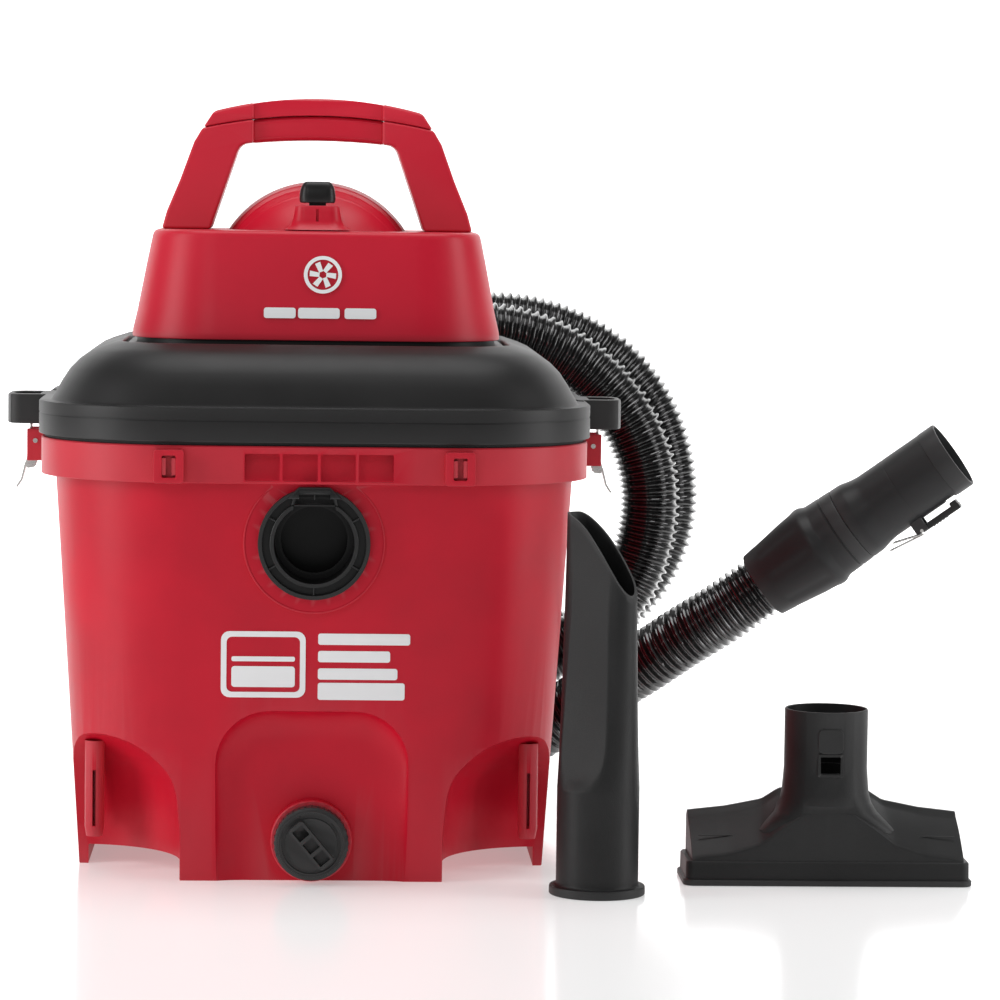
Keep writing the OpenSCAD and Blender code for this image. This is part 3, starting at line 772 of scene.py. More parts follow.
class RibbedHose:
    """A Geometry Nodes tree that sweeps a ring along a route, with a raised rib at each pitch."""

    def __init__(self) -> None:
        """Builds the tree and its named inputs."""
        self.tree = bpy.data.node_groups.new("ribbed_hose", "GeometryNodeTree")
        face = self.tree.interface
        face.new_socket("Route", in_out="INPUT", socket_type="NodeSocketGeometry")
        kinds = (("Radius", "NodeSocketFloat"), ("Rib Height", "NodeSocketFloat"),
                 ("Ribs", "NodeSocketInt"), ("Rings Per Rib", "NodeSocketInt"), ("Sides", "NodeSocketInt"),
                 ("Finish", "NodeSocketMaterial"))
        self.inputs = {name: face.new_socket(name, in_out="INPUT", socket_type=kind).identifier
                       for name, kind in kinds}
        face.new_socket("Hose", in_out="OUTPUT", socket_type="NodeSocketGeometry")
        nodes = Nodes(self.tree)
        given = nodes.add("NodeGroupInput").outputs

        def math_node(operation: str, first: object, second: object = 0.0) -> bpy.types.NodeSocket:
            """One sum on two values."""
            return nodes.add("ShaderNodeMath", {0: first, 1: second}, operation=operation).outputs[0]

        rings = math_node("ADD", math_node("MULTIPLY", given["Ribs"], given["Rings Per Rib"]), 1.0)
        route = nodes.add("GeometryNodeResampleCurve", {"Curve": given["Route"], "Count": rings}).outputs[0]
        place = nodes.add("GeometryNodeInputIndex").outputs[0]
        middle = math_node("MULTIPLY", math_node("ADD", place, 0.5), math.pi)
        phase = math_node("DIVIDE", middle, given["Rings Per Rib"])
        groove = math_node("POWER", math_node("ABSOLUTE", math_node("SINE", phase)), 1.5)
        radius = math_node("SUBTRACT", given["Radius"], math_node("MULTIPLY", groove, given["Rib Height"]))
        sized = nodes.add("GeometryNodeSetCurveRadius", {"Curve": route, "Radius": radius}).outputs[0]
        round_of = {"Resolution": given["Sides"], "Radius": 1.0}
        ring = nodes.add("GeometryNodeCurvePrimitiveCircle", round_of).outputs[0]
        sweep = nodes.add("GeometryNodeCurveToMesh", {"Curve": sized, "Profile Curve": ring, "Fill Caps": True})
        if "Scale" in sweep.inputs:
            self.tree.links.new(radius, sweep.inputs["Scale"])
        real = nodes.add("GeometryNodeRealizeInstances", {0: sweep.outputs[0]}).outputs[0]
        worn = {"Geometry": real, "Material": given["Finish"]}
        nodes.add("NodeGroupOutput", {0: nodes.add("GeometryNodeSetMaterial", worn).outputs[0]})

    def mesh(self, route: Sequence[Vector], values: dict[str, object]) -> bpy.types.Mesh:
        """The hose along a route.

        Args:
            route: points along its centre, in metres.
            values: what each named input takes.

        Returns:
            The hose's mesh, closed at both ends.
        """
        line = bpy.data.curves.new("route", "CURVE")
        line.dimensions = "3D"
        spline = line.splines.new("POLY")
        spline.points.add(len(route) - 1)
        for point, place in zip(spline.points, route):
            point.co = (*place, 1.0)
        thing = linked("route", line)
        step = thing.modifiers.new("hose", "NODES")
        step.node_group = self.tree
        for name, value in values.items():
            step[self.inputs[name]] = value
        made = evaluated_mesh(thing)
        bpy.data.objects.remove(thing)
        return made


# ---------- the bench: what every sub-assembly uses ----------


class Bench:
    """Holds the finishes and sets each finished piece on its body."""

    def __init__(self) -> None:
        """Builds every finish once, and the tree that repeats units."""
        self.finishes = {finish: finish.value.material() for finish in Finish}
        self.repeat = Repeat(self.finishes[Finish.FITTING_BLACK])

    def fit(self, thing: Shape | bpy.types.Mesh, name: str, body: str, finish: Finish,
            nodes: Sequence[str] = (), smooth: float = 38.0) -> bpy.types.Object:
        """Makes a piece, dresses it and sets it on its body.

        Args:
            thing: its shape, or a mesh in metres.
            name: the piece's name.
            body: the body that it moves with.
            finish: its finish.
            nodes: the CAD nodes that it stands for.
            smooth: least angle in degrees that stays a sharp edge.

        Returns:
            The new object.
        """
        mesh = even_shading(thing.mesh(name) if isinstance(thing, Shape) else thing, smooth)
        mesh.name = name
        mesh.materials.clear()
        mesh.materials.append(self.finishes[finish])
        made = linked(name, mesh)
        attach(made, body)
        if nodes:
            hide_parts(*nodes)
        LOG.info("%s: %d faces on %s", name, len(mesh.polygons), body)
        return made

    def dress(self, node: str, finish: Finish) -> None:
        """Gives a CAD node that stays its finish.

        Args:
            node: the node's name.
            finish: its finish.
        """
        materials = frame["nodes"][node].data.materials
        materials.clear()
        materials.append(self.finishes[finish])
        LOG.info("%s: CAD shape in %s", node, finish.value.name)

    def eased_copy(self, node: str, finish: Finish, width: float = 0.35) -> bpy.types.Object:
        """A copy of a CAD node with its doubles merged, its flats joined and its edges rounded.

        Args:
            node: the CAD node, which the copy stands for.
            finish: the copy's finish.
            width: width of the rounding.

        Returns:
            The new object.
        """
        work = bmesh.new()
        work.from_mesh(frame["nodes"][node].data)
        bmesh.ops.remove_doubles(work, verts=work.verts, dist=2e-6)
        bmesh.ops.dissolve_limit(work, angle_limit=math.radians(1.5), verts=work.verts, edges=work.edges)
        edges = [e for e in work.edges if e.is_manifold and e.calc_face_angle(0) > math.radians(40)]
        bmesh.ops.bevel(work, geom=edges, offset=width * MM, segments=2, profile=0.5, affect="EDGES",
                        clamp_overlap=True)
        mesh = bpy.data.meshes.new(node)
        work.to_mesh(mesh)
        work.free()
        body = next(b for b, held in frame["record"]["behaviour"]["bodies"].items() if node in held)
        return self.fit(mesh, node + "_piece", body, finish, [node], 32.0)


# ---------- camera, light and floor ----------


@dataclass(frozen=True)
class Studio:
    """The camera, the soft lights and the pale floor."""

    place: Point = (0.0, -3.5, 0.56)
    lens: float = 148.2
    down: float = 4.29
    right: float = 2.586
    lean: float = 0.76
    fill: float = 0.24

    def camera(self) -> None:
        """Sets the camera: down, right and lean are its angles in degrees."""
        data = bpy.data.cameras.new("camera")
        data.lens, data.sensor_width = self.lens, 36.0
        made = linked("camera", data)
        down, right, lean = (math.radians(a) for a in (self.down, self.right, self.lean))
        ahead = Vector((math.sin(right) * math.cos(down), math.cos(right) * math.cos(down), -math.sin(down)))
        up = Vector((0, 0, 1)) * math.cos(lean) - Vector((1, 0, 0)) * math.sin(lean)
        side = ahead.cross(up).normalized()
        turn = Matrix((side, side.cross(ahead), -ahead)).transposed().to_4x4()
        made.matrix_world = Matrix.Translation(self.place) @ turn
        bpy.context.scene.camera = made

    def lamp(self, name: str, size: tuple[float, float], power: float, place: Point, aim: Point) -> None:
        """Adds a soft area light.

        Args:
            name: the light's name.
            size: its width and height, in metres.
            power: its power, in watts.
            place: where it is, in metres.
            aim: the point that it faces, in metres.
        """
        data = bpy.data.lights.new(name, "AREA")
        data.shape, data.size, data.size_y, data.energy = "RECTANGLE", *size, power
        made = linked(name, data)
        made.location = place
        made.rotation_euler = (Vector(aim) - Vector(place)).to_track_quat("-Z", "Y").to_euler()

    def light(self) -> None:
        """Sets the world and the lights."""
        scene = bpy.context.scene
        world = bpy.data.worlds.new("studio")
        world.use_nodes = True
        nodes = Nodes(world.node_tree)
        seen = nodes.add("ShaderNodeLightPath").outputs["Is Camera Ray"]
        sky = world.node_tree.nodes["Background"]
        sky.inputs["Color"].default_value = (1.0, 1.0, 1.0, 1.0)
        world.node_tree.links.new(nodes.remap(seen, 0, 1, self.fill, 1.0), sky.inputs["Strength"])
        scene.world = world
        scene.view_settings.view_transform = "Standard"
        self.lamp("left_panel", (0.7, 1.6), 17.0, (-1.7, -0.7, 0.8), (0.0, 0.0, 0.3))
        self.lamp("right_panel", (0.7, 1.6), 14.0, (2.0, -0.5, 0.8), (0.1, 0.0, 0.3))
        self.lamp("top_panel", (1.6, 0.9), 15.0, (0.1, 0.0, 1.9), (0.1, 0.0, 0.2))
        self.lamp("front_fill", (1.2, 0.6), 9.0, (-0.9, -3.0, 1.9), (0.1, 0.0, 0.3))

    def floor(self) -> None:
        """A wide pale floor that curves up far behind, with a faint sheen."""
        material, nodes, shader, where = new_material("floor_white")
        tint = nodes.mix(nodes.noise(where, 1.5), (0.9, 0.9, 0.9, 1.0), (0.93, 0.93, 0.93, 1.0))
        back = nodes.add("ShaderNodeSeparateXYZ", {0: where}).outputs["Y"]
        nodes.feed(shader, {"Base Color": tint, "Roughness": 0.16, "Specular IOR Level": 0.5,
                            "Emission Color": (1.0, 1.0, 1.0, 1.0),
                            "Emission Strength": nodes.remap(back, 0.3, 1.9, 0.32, 1.0)})
        flat_to, bend = 5.0, 1.5
        profile = [(-6.0, 0.0), (flat_to, 0.0)]
        profile += [(flat_to + bend * math.sin(t), bend - bend * math.cos(t))
                    for t in np.linspace(0.1, math.pi / 2, 12)]
        profile.append((flat_to + bend, 6.0))
        points = [(x, y, z) for y, z in profile for x in (-9.0, 9.0)]
        faces = [(2 * i, 2 * i + 1, 2 * i + 3, 2 * i + 2) for i in range(len(profile) - 1)]
        mesh = bpy.data.meshes.new("floor")
        mesh.from_pydata(points, [], faces)
        mesh.shade_smooth()
        mesh.materials.append(material)
        linked("floor", mesh)


# ---------- hose and cuff ----------


@dataclass
class HoseLine:
    """The free hose, its plug in the blower port and the cuff on its far end."""

    bench: Bench
    radius: float = 28.5
    rib: float = 4.4
    pitch: float = 6.8
    rings_per_rib: int = 6
    sides: int = 26
    cuff_at: Point = (400, 140, 213)
    elevation: float = 36
    azimuth: float = -14
    route: tuple[Point, ...] = (
        (0, 185, 480), (0, 230, 480), (0, 275, 474), (0, 318, 456), (0, 352, 426), (-2, 375, 386),
        (-2, 385, 342), (4, 389, 298), (15, 387, 252), (35, 384, 205), (65, 379, 162), (105, 371, 134),
        (155, 363, 122), (208, 357, 128), (260, 354, 152), (300, 352, 188), (324, 352, 230), (332, 352, 274),
        (326, 351, 320), (308, 350, 362), (276, 347, 400), (232, 346, 426), (182, 343, 438), (130, 339, 435),
        (82, 333, 415), (42, 328, 380), (18, 325, 335), (8, 322, 286), (12, 318, 236), (32, 313, 190),
        (66, 307, 152), (110, 301, 128), (160, 296, 120), (212, 293, 130), (258, 292, 158), (292, 292, 200),
        (308, 292, 250), (308, 292, 300), (290, 291, 348), (256, 289, 390), (212, 286, 418), (162, 282, 430),
        (112, 277, 424), (66, 272, 400), (28, 267, 364), (2, 264, 318), (-10, 262, 268), (-10, 261, 216),
        (-2, 259, 168), (12, 257, 124), (34, 256, 87), (65, 256, 59), (105, 255, 44), (150, 250, 45),
        (190, 239, 60), (226, 220, 85), (262, 201, 112), (296, 183, 136), (330, 165, 162), (366, 149, 187.5),
        (400, 140, 213))

    def centre_line(self, steps: int = 10) -> list[Vector]:
        """Points in metres along a smooth curve through the route.

        Args:
            steps: how many pieces each stretch between two route points has.

        Returns:
            The points.
        """
        places = [Vector(p) * MM for p in self.route]
        places = [2 * places[0] - places[1], *places, 2 * places[-1] - places[-2]]
        made = []
        for a, b, c, d in zip(places, places[1:], places[2:], places[3:]):
            for step in range(steps):
                t = step / steps
                made.append(0.5 * (2 * b + (c - a) * t + (2 * a - 5 * b + 4 * c - d) * t * t
                                   + (3 * b - a - 3 * c + d) * t**3))
        made.append(places[-2])
        return made

    def cuff_place(self) -> Matrix:
        """The cuff's own frame, whose +Z runs out along the cuff."""
        return (Matrix.Translation(self.cuff_at) @ Matrix.Rotation(math.radians(self.azimuth), 4, "Z")
                @ Matrix.Rotation(math.radians(90 - self.elevation), 4, "Y"))

    def sleeve(self) -> Shape:
        """The cone on the hose's end, with long flats and thin grooves.

        Returns:
            The new shape.
        """
        skin = Skin.round(96)
        flats = np.cos(skin.bearing * 4) ** 8
        for radius, along, flat in [(27.2, 0.3, 0), (30.4, 0.3, 0), (31, 1, 0), (32.6, 14, 0), (33, 16, 0.6),
                                    (37.2, 44, 0.9), (38.3, 55, 0.9), (38.8, 59, 0), (39, 62, 0),
                                    (38.6, 65, 0), (36.4, 69.5, 0), (36, 72, 0), (35.6, 84, 0), (34.8, 84.4, 0),
                                    (34.8, 85.6, 0), (35.5, 86, 0), (35.1, 96, 0), (34.5, 96.9, 0),
                                    (30.2, 96.9, 0), (30.2, 76, 0), (27.2, 76, 0)]:
            skin.ring(radius - flat * flats, along)
        return skin.shape(Ends.LOOP)

    def tube(self) -> Shape:
        """The cuff's tube, which turns in the sleeve, with a seam ring, two lugs and the button's slot.

        Returns:
            The new shape.
        """
        body = turned([(27.6, 77), (29.9, 77), (29.9, 97.4), (34.6, 97.4), (35, 98.2), (34.7, 107), (34.2, 110),
                       (33, 114.5), (32, 119), (31.4, 124.5), (31.4, 150), (31.1, 150.4), (31.1, 151.4),
                       (31.4, 151.8), (31.4, 189.6), (31.75, 190), (31.75, 205), (31.2, 206), (29.4, 206),
                       (29, 205.4), (29, 112), (27.6, 106)], sides=96)
        body = body.cut(block((10, 17, 11), (32, 0, 182), 0))
        lugs = [block((13.6, 2.8, 11.6), (34.9, side * 9.5, 146), 1.0) for side in (-1, 1)]
        return body.join(*lugs)

    def button(self) -> Shape:
        """The cuff's button: a ribbed thumb bar with a nose.

        Returns:
            The new shape.
        """
        bar = block((6, 15, 40), (39.6, 0, 166), 1.3)
        ribs = [block((1.2, 12, 1.4), (42.6, 0, 157 + 3.4 * i), 0.5) for i in range(5)]
        return bar.join(block((9, 14.8, 7), (38, 0, 182), 1.4), *ribs)

    def build(self) -> None:
        """Makes the hose first, then what is on its ends."""
        line = self.centre_line()
        length = sum((b - a).length for a, b in zip(line, line[1:]))
        maker = RibbedHose()
        mesh = maker.mesh(line, {"Radius": self.radius * MM, "Rib Height": self.rib * MM,
                                 "Ribs": round(length / (self.pitch * MM)),
                                 "Rings Per Rib": self.rings_per_rib, "Sides": self.sides,
                                 "Finish": self.bench.finishes[Finish.HOSE_BLACK]})
        hose = self.bench.fit(mesh, "ribbed_hose", "lid", Finish.HOSE_BLACK, ["hose"], 60.0)
        place = self.cuff_place()
        plug = turned([(28.8, 112), (31.6, 112), (31.6, 150.3), (34.6, 150.3), (35, 151), (35, 157),
                       (34.2, 160), (33, 184), (32.4, 185), (28.8, 185)], sides=96)
        grips = self.bench.repeat.spun(block((1.6, 2.2, 20), (34.0, 0, 171), 0.6), 18)
        facing_back = Matrix.Translation((0, 0, 480)) @ Matrix.Rotation(-math.pi / 2, 4, "X")
        plug = self.bench.fit(plug.join(grips).placed(facing_back), "plug_piece", "lid", Finish.CUFF_GREY,
                              ["hose_plug"])
        sleeve = self.bench.fit(self.sleeve().placed(place), "sleeve_piece", "lid", Finish.CUFF_GREY,
                                ["cuff_sleeve"])
        self.bench.fit(self.tube().placed(place), "cuff_piece", "cuff", Finish.CUFF_GREY, ["cuff_tube"])
        self.bench.fit(self.button().placed(place), "button_piece", "cuff_button", Finish.FITTING_BLACK,
                       ["cuff_latch"])
        self.bench.dress("latch_spring", Finish.STEEL)
        self.bench.dress("latch_pin", Finish.STEEL)


# ---------- tank ----------


@dataclass
class Tank:
    """The red tank with what is fixed in its front."""

    bench: Bench
    foot: float = 192
    neck: float = 213
    neck_z: float = 325
    core: float = 104
    wall: float = 3.5
    rim: float = 225
    rim_top: float = 355
    inlet_z: float = 277
    drain_z: float = 34
    relief: tuple[tuple[float, float], ...] = ((88, -5), (88, 40), (85, 71), (80, 86), (67, 100), (51, 111),
                                               (30, 117.5), (12, 120.5))

    def half(self, z: float) -> float:
        """Half width of the tank's outside at a height."""
        return self.foot + (self.neck - self.foot) * z / self.neck_z

    def relief_shape(self, grown: float, side_x: int, side_y: int) -> Shape:
        """One corner pocket, grown by some millimetres, for two signs that pick the corner."""
        levels = eased([(r + grown, z + (grown if z > 90 else 0)) for r, z in self.relief], 9, 4)
        return turned(levels, Ends.POLES, 80).placed(Matrix.Translation((side_x * 194, side_y * 194, 0)))

    def recess(self, grown: float) -> Shape:
        """The arched recess in the front, whose walls sweep inwards like a cove.

        Args:
            grown: how many millimetres the shape is grown by.

        Returns:
            The shape to cut away.
        """
        rows = [(0.0, -14.0), (0.0, 0.0)] + [(26 * (1 - math.sqrt(1 - t * t)), t)
                                              for t in (0.2, 0.4, 0.58, 0.74, 0.87, 0.96, 1.0)]
        points, count = [], 0
        for inset, depth in rows:
            outline = rect_outline(78 - inset + grown, 140 - inset + grown, max(44 - inset, 18), 8)
            count = len(outline)
            for x, z in outline:
                face = -self.half(max(z, 0))
                y = face + depth if depth < 0 else face + (-186.9 + grown - face) * depth
                points.append((x, y, z))
        faces = [(a * count + k, a * count + (k + 1) % count, (a + 1) * count + (k + 1) % count,
                  (a + 1) * count + k) for a in range(len(rows) - 1) for k in range(count)]
        faces.append(tuple(range(count - 1, -1, -1)))
        faces.append(tuple((len(rows) - 1) * count + k for k in range(count)))
        return Shape().add(points, [tuple(reversed(f)) for f in faces])

    def shell(self) -> Shape:
        """The tank's moulding.

        Returns:
            The hollow tank with its pockets, recess and holes.
        """
        skin = Skin.boxed(self.core, self.core, 8, 12)
        for half, z in [(184.5, 16), (184.5, 0), (self.foot - 0.6, 0), (self.foot + 0.1, 0.8),
                        (self.half(110), 110), (self.half(220), 220), (self.neck, self.neck_z),
                        (self.neck, 352), (222, 352), (222, 325.5), (222.5, 325), (224.5, 325), (225, 325.5),
                        (225, 354), (224.2, self.rim_top), (self.rim - 10, self.rim_top),
                        (self.rim - 15, self.rim_top)]:
            skin.ring(half - self.core, z)
        body = skin.shape(Ends.POLES)
        pad = turned([(57, -14), (57, 0.6), (56.6, 1.2), (55.6, 1.2), (55.2, 0.8), (54.6, 0.8),
                      (46, 0.8), (30, 0.8)], Ends.POLES, 96)
        boss = turned([(33, 0), (33, 20), (32, 21), (10, 21)], Ends.POLES, 72)
        body = body.merged(pad.placed(facing_front(0, -211.6, self.inlet_z)))
        inner = Skin.boxed(self.core, self.core, 8, 12)
        for z in (20, 220, self.neck_z, 370):
            inner.ring(self.half(min(z, self.neck_z)) - self.wall - self.core, z)
        cavity = inner.shape(Ends.POLES).cut(*[self.relief_shape(3, *c) for c in CORNERS], self.recess(3))
        pockets = [block((28, 14, 22), (-42 + 30.3 * i, -225, 338), 1.2) for i in range(4)]
        body = body.cut(cavity, *[self.relief_shape(0, *c) for c in CORNERS], self.recess(0), *pockets)
        body = body.merged(boss.placed(facing_front(0, -178, self.drain_z)))
        holes = [turned([(37.6, 150), (37.6, 240)], Ends.POLES, 72).placed(facing_front(0, 0, self.inlet_z)),
                 turned([(14, 150), (14, 240)], Ends.POLES, 48).placed(facing_front(0, 0, self.drain_z))]
        return body.cut(*holes)

    def fittings(self) -> Shape:
        """Brackets, ears, caster sockets and the ribs underneath.

        Returns:
            The new shape.
        """
        made = Shape()
        for side in (-1, 1):
            bracket = frame_prism(rect_outline(12, 13.5, 2.5), rect_outline(5.4, 8.8, 1.2), 0, 10)
            back = prism(rect_outline(11, 12.5, 2.0), 0, 3.4)
            hooks = [prism(rect_outline(1.5, 6.8, 0.6), 3, 9).placed(Matrix.Translation((x, 0, 0)))
                     for x in (-3.8, 3.8)]
            made.join(bracket.bevelled(0.9).join(back, *hooks).placed(facing_front(side * 116, -223, 338.5)))
            for ear in (-15, 15):
                made.join(block((22, 4, 27), (side * 232, ear, 341.5), 0.9))
        socket = turned([(4, 28), (6.5, 28), (8, 36), (8, 107), (4, 107)], Ends.LOOP, 32)
        socket = socket.cut(block((2.6, 10, 46), (0, -6, 60), 0))
        for x, y in CORNERS:
            made.join(socket.placed(Matrix.Translation((x * 178, y * 138, 0))))
            made.join(block((2.4, 20, 70), (x * 178, y * 126, 73), 0.5))
        made.join(turned([(18, 0.2), (18, 17)], Ends.POLES, 40))
        ribs = self.bench.repeat.spun(block((166, 3, 16), (100, 0, 8.2), 0.5), 4)
        return made.join(ribs)

    def rim_ribs(self) -> Shape:
        """Thin upright ribs in the channel under the rim band, all round.

        Returns:
            The new shape.
        """
        rib = block((8.6, 2.0, 26), (0, 0, 338.5), 0.4)
        points = [(side * 217.5, y, 0) for side in (-1, 1) for y in (-96, -64, -40, 40, 64, 96)]
        made = self.bench.repeat.shape(rib, points)
        turned_rib = rib.placed(Matrix.Rotation(math.pi / 2, 4, "Z"))
        points = [(x, side * 217.5, 0) for side in (-1, 1) for x in (-98, -72, 72, 98)]
        return made.join(self.bench.repeat.shape(turned_rib, points))

    def prints(self) -> Shape:
        """A generic print on the front: a tank with its level, and four bars.

        Returns:
            The new shape.
        """
        parts = [frame_prism(rect_outline(34, 27, 7), rect_outline(29.5, 22.5, 4.5), 0, INK),
                 prism(rect_outline(25.5, 8.5, 2.5), 0, INK).placed(Matrix.Translation((0, -10, 0))),
                 prism(rect_outline(25.5, 2.0, 1.5), 0, INK).placed(Matrix.Translation((0, 4.5, 0)))]
        made = Shape().join(*parts).placed(Matrix.Translation((-40, 0, 0)))
        for row, width in enumerate((37, 29, 32, 35)):
            bar = prism(rect_outline(width, 4.6 if row != 3 else 7, 2.0), 0, INK)
            made.join(bar.placed(Matrix.Translation((4 + width, 21 - row * 14.2, 0))))
        tilt = math.atan((self.neck - self.foot) / self.neck_z)
        place = facing_front(0, -self.half(178) - 0.1, 178) @ Matrix.Rotation(tilt, 4, "X")
        return made.placed(place)

    def inlet(self) -> Shape:
        """The open black inlet with its ribbed flange, key notch and tab.

        Returns:
            The new shape.
        """
        body = turned([(27, 175), (37.2, 175), (37.2, 214.6), (44.6, 214.6), (45, 215), (45, 221.5),
                       (44.6, 222), (41.8, 222), (41.5, 221.6), (41.5, 216.4), (35.5, 216.4), (35.5, 220.6),
                       (35, 221), (32.4, 221), (32, 220.4), (32, 179), (27, 179)], sides=96)
        cut = body.cut(block((34, 19.5, 30), (0, 29.5, 225), 0))
        rim = frame_prism([(-18.6, 31), (18.6, 31), (15.5, 41.5), (-15.5, 41.5)],
                          [(-16.6, 30), (16.6, 30), (13.5, 39.5), (-13.5, 39.5)], 213.2, 221.6)
        ribs = self.bench.repeat.spun(block((6.4, 1.1, 4.4), (38.5, 0, 218.4), 0.3)
                                      .placed(Matrix.Rotation(math.pi / 6, 4, "Z")), 6)
        tab = prism([(-22, 36), (22, 36), (12.5, 45.5), (-12.5, 45.5)], 215, 223.4).bevelled(1.0)
        tab = tab.cut(block((25, 30, 20), (0, 28, 225), 0))
        return cut.join(rim, ribs, tab).placed(facing_front(0, 0, self.inlet_z))

    def cap_ribs(self) -> Shape:
        """Grip ribs round the drain cap's edge, and a raised arc round its face.

        Returns:
            The new shape.
        """
        ribs = self.bench.repeat.spun(block((1.4, 1.8, 9.4), (29.5, 0, 207.6), 0.5), 36)
        arc = turned([(25.6, 215.6), (27.0, 215.6), (26.8, 216.6), (25.8, 216.6)], Ends.LOOP, 72)
        return ribs.join(arc).placed(facing_front(0, 0, self.drain_z))

    def build(self) -> None:
        """Makes the tank's pieces."""
        bench = self.bench
        bench.fit(self.shell(), "tank_moulding", "tank", Finish.TANK_RED, ["tank"], 30.0)
        bench.fit(self.fittings().join(self.rim_ribs()), "tank_fittings", "tank", Finish.TANK_RED)
        bench.fit(self.prints(), "tank_print", "tank", Finish.PRINT_WHITE)
        bench.fit(self.inlet(), "inlet_piece", "tank", Finish.FITTING_BLACK, ["inlet_port"])
        bench.eased_copy("drain_cap", Finish.FITTING_BLACK, 0.7)
        bench.fit(self.cap_ribs(), "drain_cap_ribs", "drain_plug", Finish.FITTING_BLACK)
        for node in ("inlet_gasket", "drain_washer"):
            bench.dress(node, Finish.RUBBER)
        bench.dress("inlet_deflector", Finish.FITTING_BLACK)
        bench.dress("latch_pivot_pins", Finish.STEEL)


# ---------- lid ----------


@dataclass
class Lid:
    """The black lid with its band, dome, moat and two hollow wings."""

    bench: Bench
    core: float = 104
    head_core: tuple[float, float] = (81, 56)

    def moulding(self) -> Shape:
        """The lid's dome and well as one closed skin.

        Returns:
            The new shape.
        """
        skin = Skin.boxed(self.core, self.core, 8, 14)
        skin.circle(32, 384).circle(80, 384).circle(80, 429)
        for half, z in [(157, 430), (167, 428), (182, 422), (198, 409), (209, 391), (211.5, 386), (215, 382),
                        (215, 358), (226.4, 358), (227, 358.8), (227, 374), (226.6, 374.4), (226.6, 375.6),
                        (227, 376), (227, 384), (226.2, 385), (217.6, 385), (216.6, 385.6), (215.6, 387.6),
                        (212.4, 393), (208, 401), (201.4, 411), (193.5, 419), (184, 425.6), (176, 429),
                        (168, 431.6), (163, 433.2), (160.6, 433.6), (158.8, 433), (158, 431.4), (157.6, 429.8)]:
            skin.ring(half - self.core, z)
        for offset, z in [(74, 429.4), (69.5, 429.6), (68.4, 430.4), (68, 432), (68, 438.8), (67.4, 439.5)]:
            skin.ring(offset, z, self.head_core)
        return skin.circle(77, 439.5).circle(77, 388).circle(32, 388).shape(Ends.LOOP)

    def wing(self, side: int) -> Shape:
        """A hollow tapering wing on one side, with slanted slots marked beside it on the ledge.

        Args:
            side: -1 for the left wing, 1 for the right one.

        Returns:
            The new shape.
        """
        outer = [(221, -30), (247, -30), (256, -25), (259, -16), (259, 16), (256, 25), (247, 30), (221, 30)]
        inner = [(232.5, -20), (246, -20), (251, -17), (254.5, -12), (254.5, 12), (251, 17), (246, 20),
                 (232.5, 20)]
        body = frame_prism(outer, inner, 360, 385).bevelled(1.3)
        marks = [block((1.6, 9, 1.0), (0, 0, 0), 0.4).placed(
            Matrix.Translation((222.2, -40 - 7 * i, 385.2)) @ Matrix.Rotation(0.6, 4, "Z")) for i in range(3)]
        body.join(*marks)
        return body if side > 0 else body.placed(Matrix.Rotation(math.pi, 4, "Z"))

    def build(self) -> None:
        """Makes the lid's pieces."""
        self.bench.fit(self.moulding(), "lid_moulding", "lid", Finish.LID_BLACK, ["lid"], 50.0)
        for side, name in ((-1, "lid_wing_left"), (1, "lid_wing_right")):
            self.bench.fit(self.wing(side), name, "lid", Finish.LID_BLACK)
        self.bench.dress("lid_gasket", Finish.RUBBER)


# ---------- head, dome, switch and handle ----------


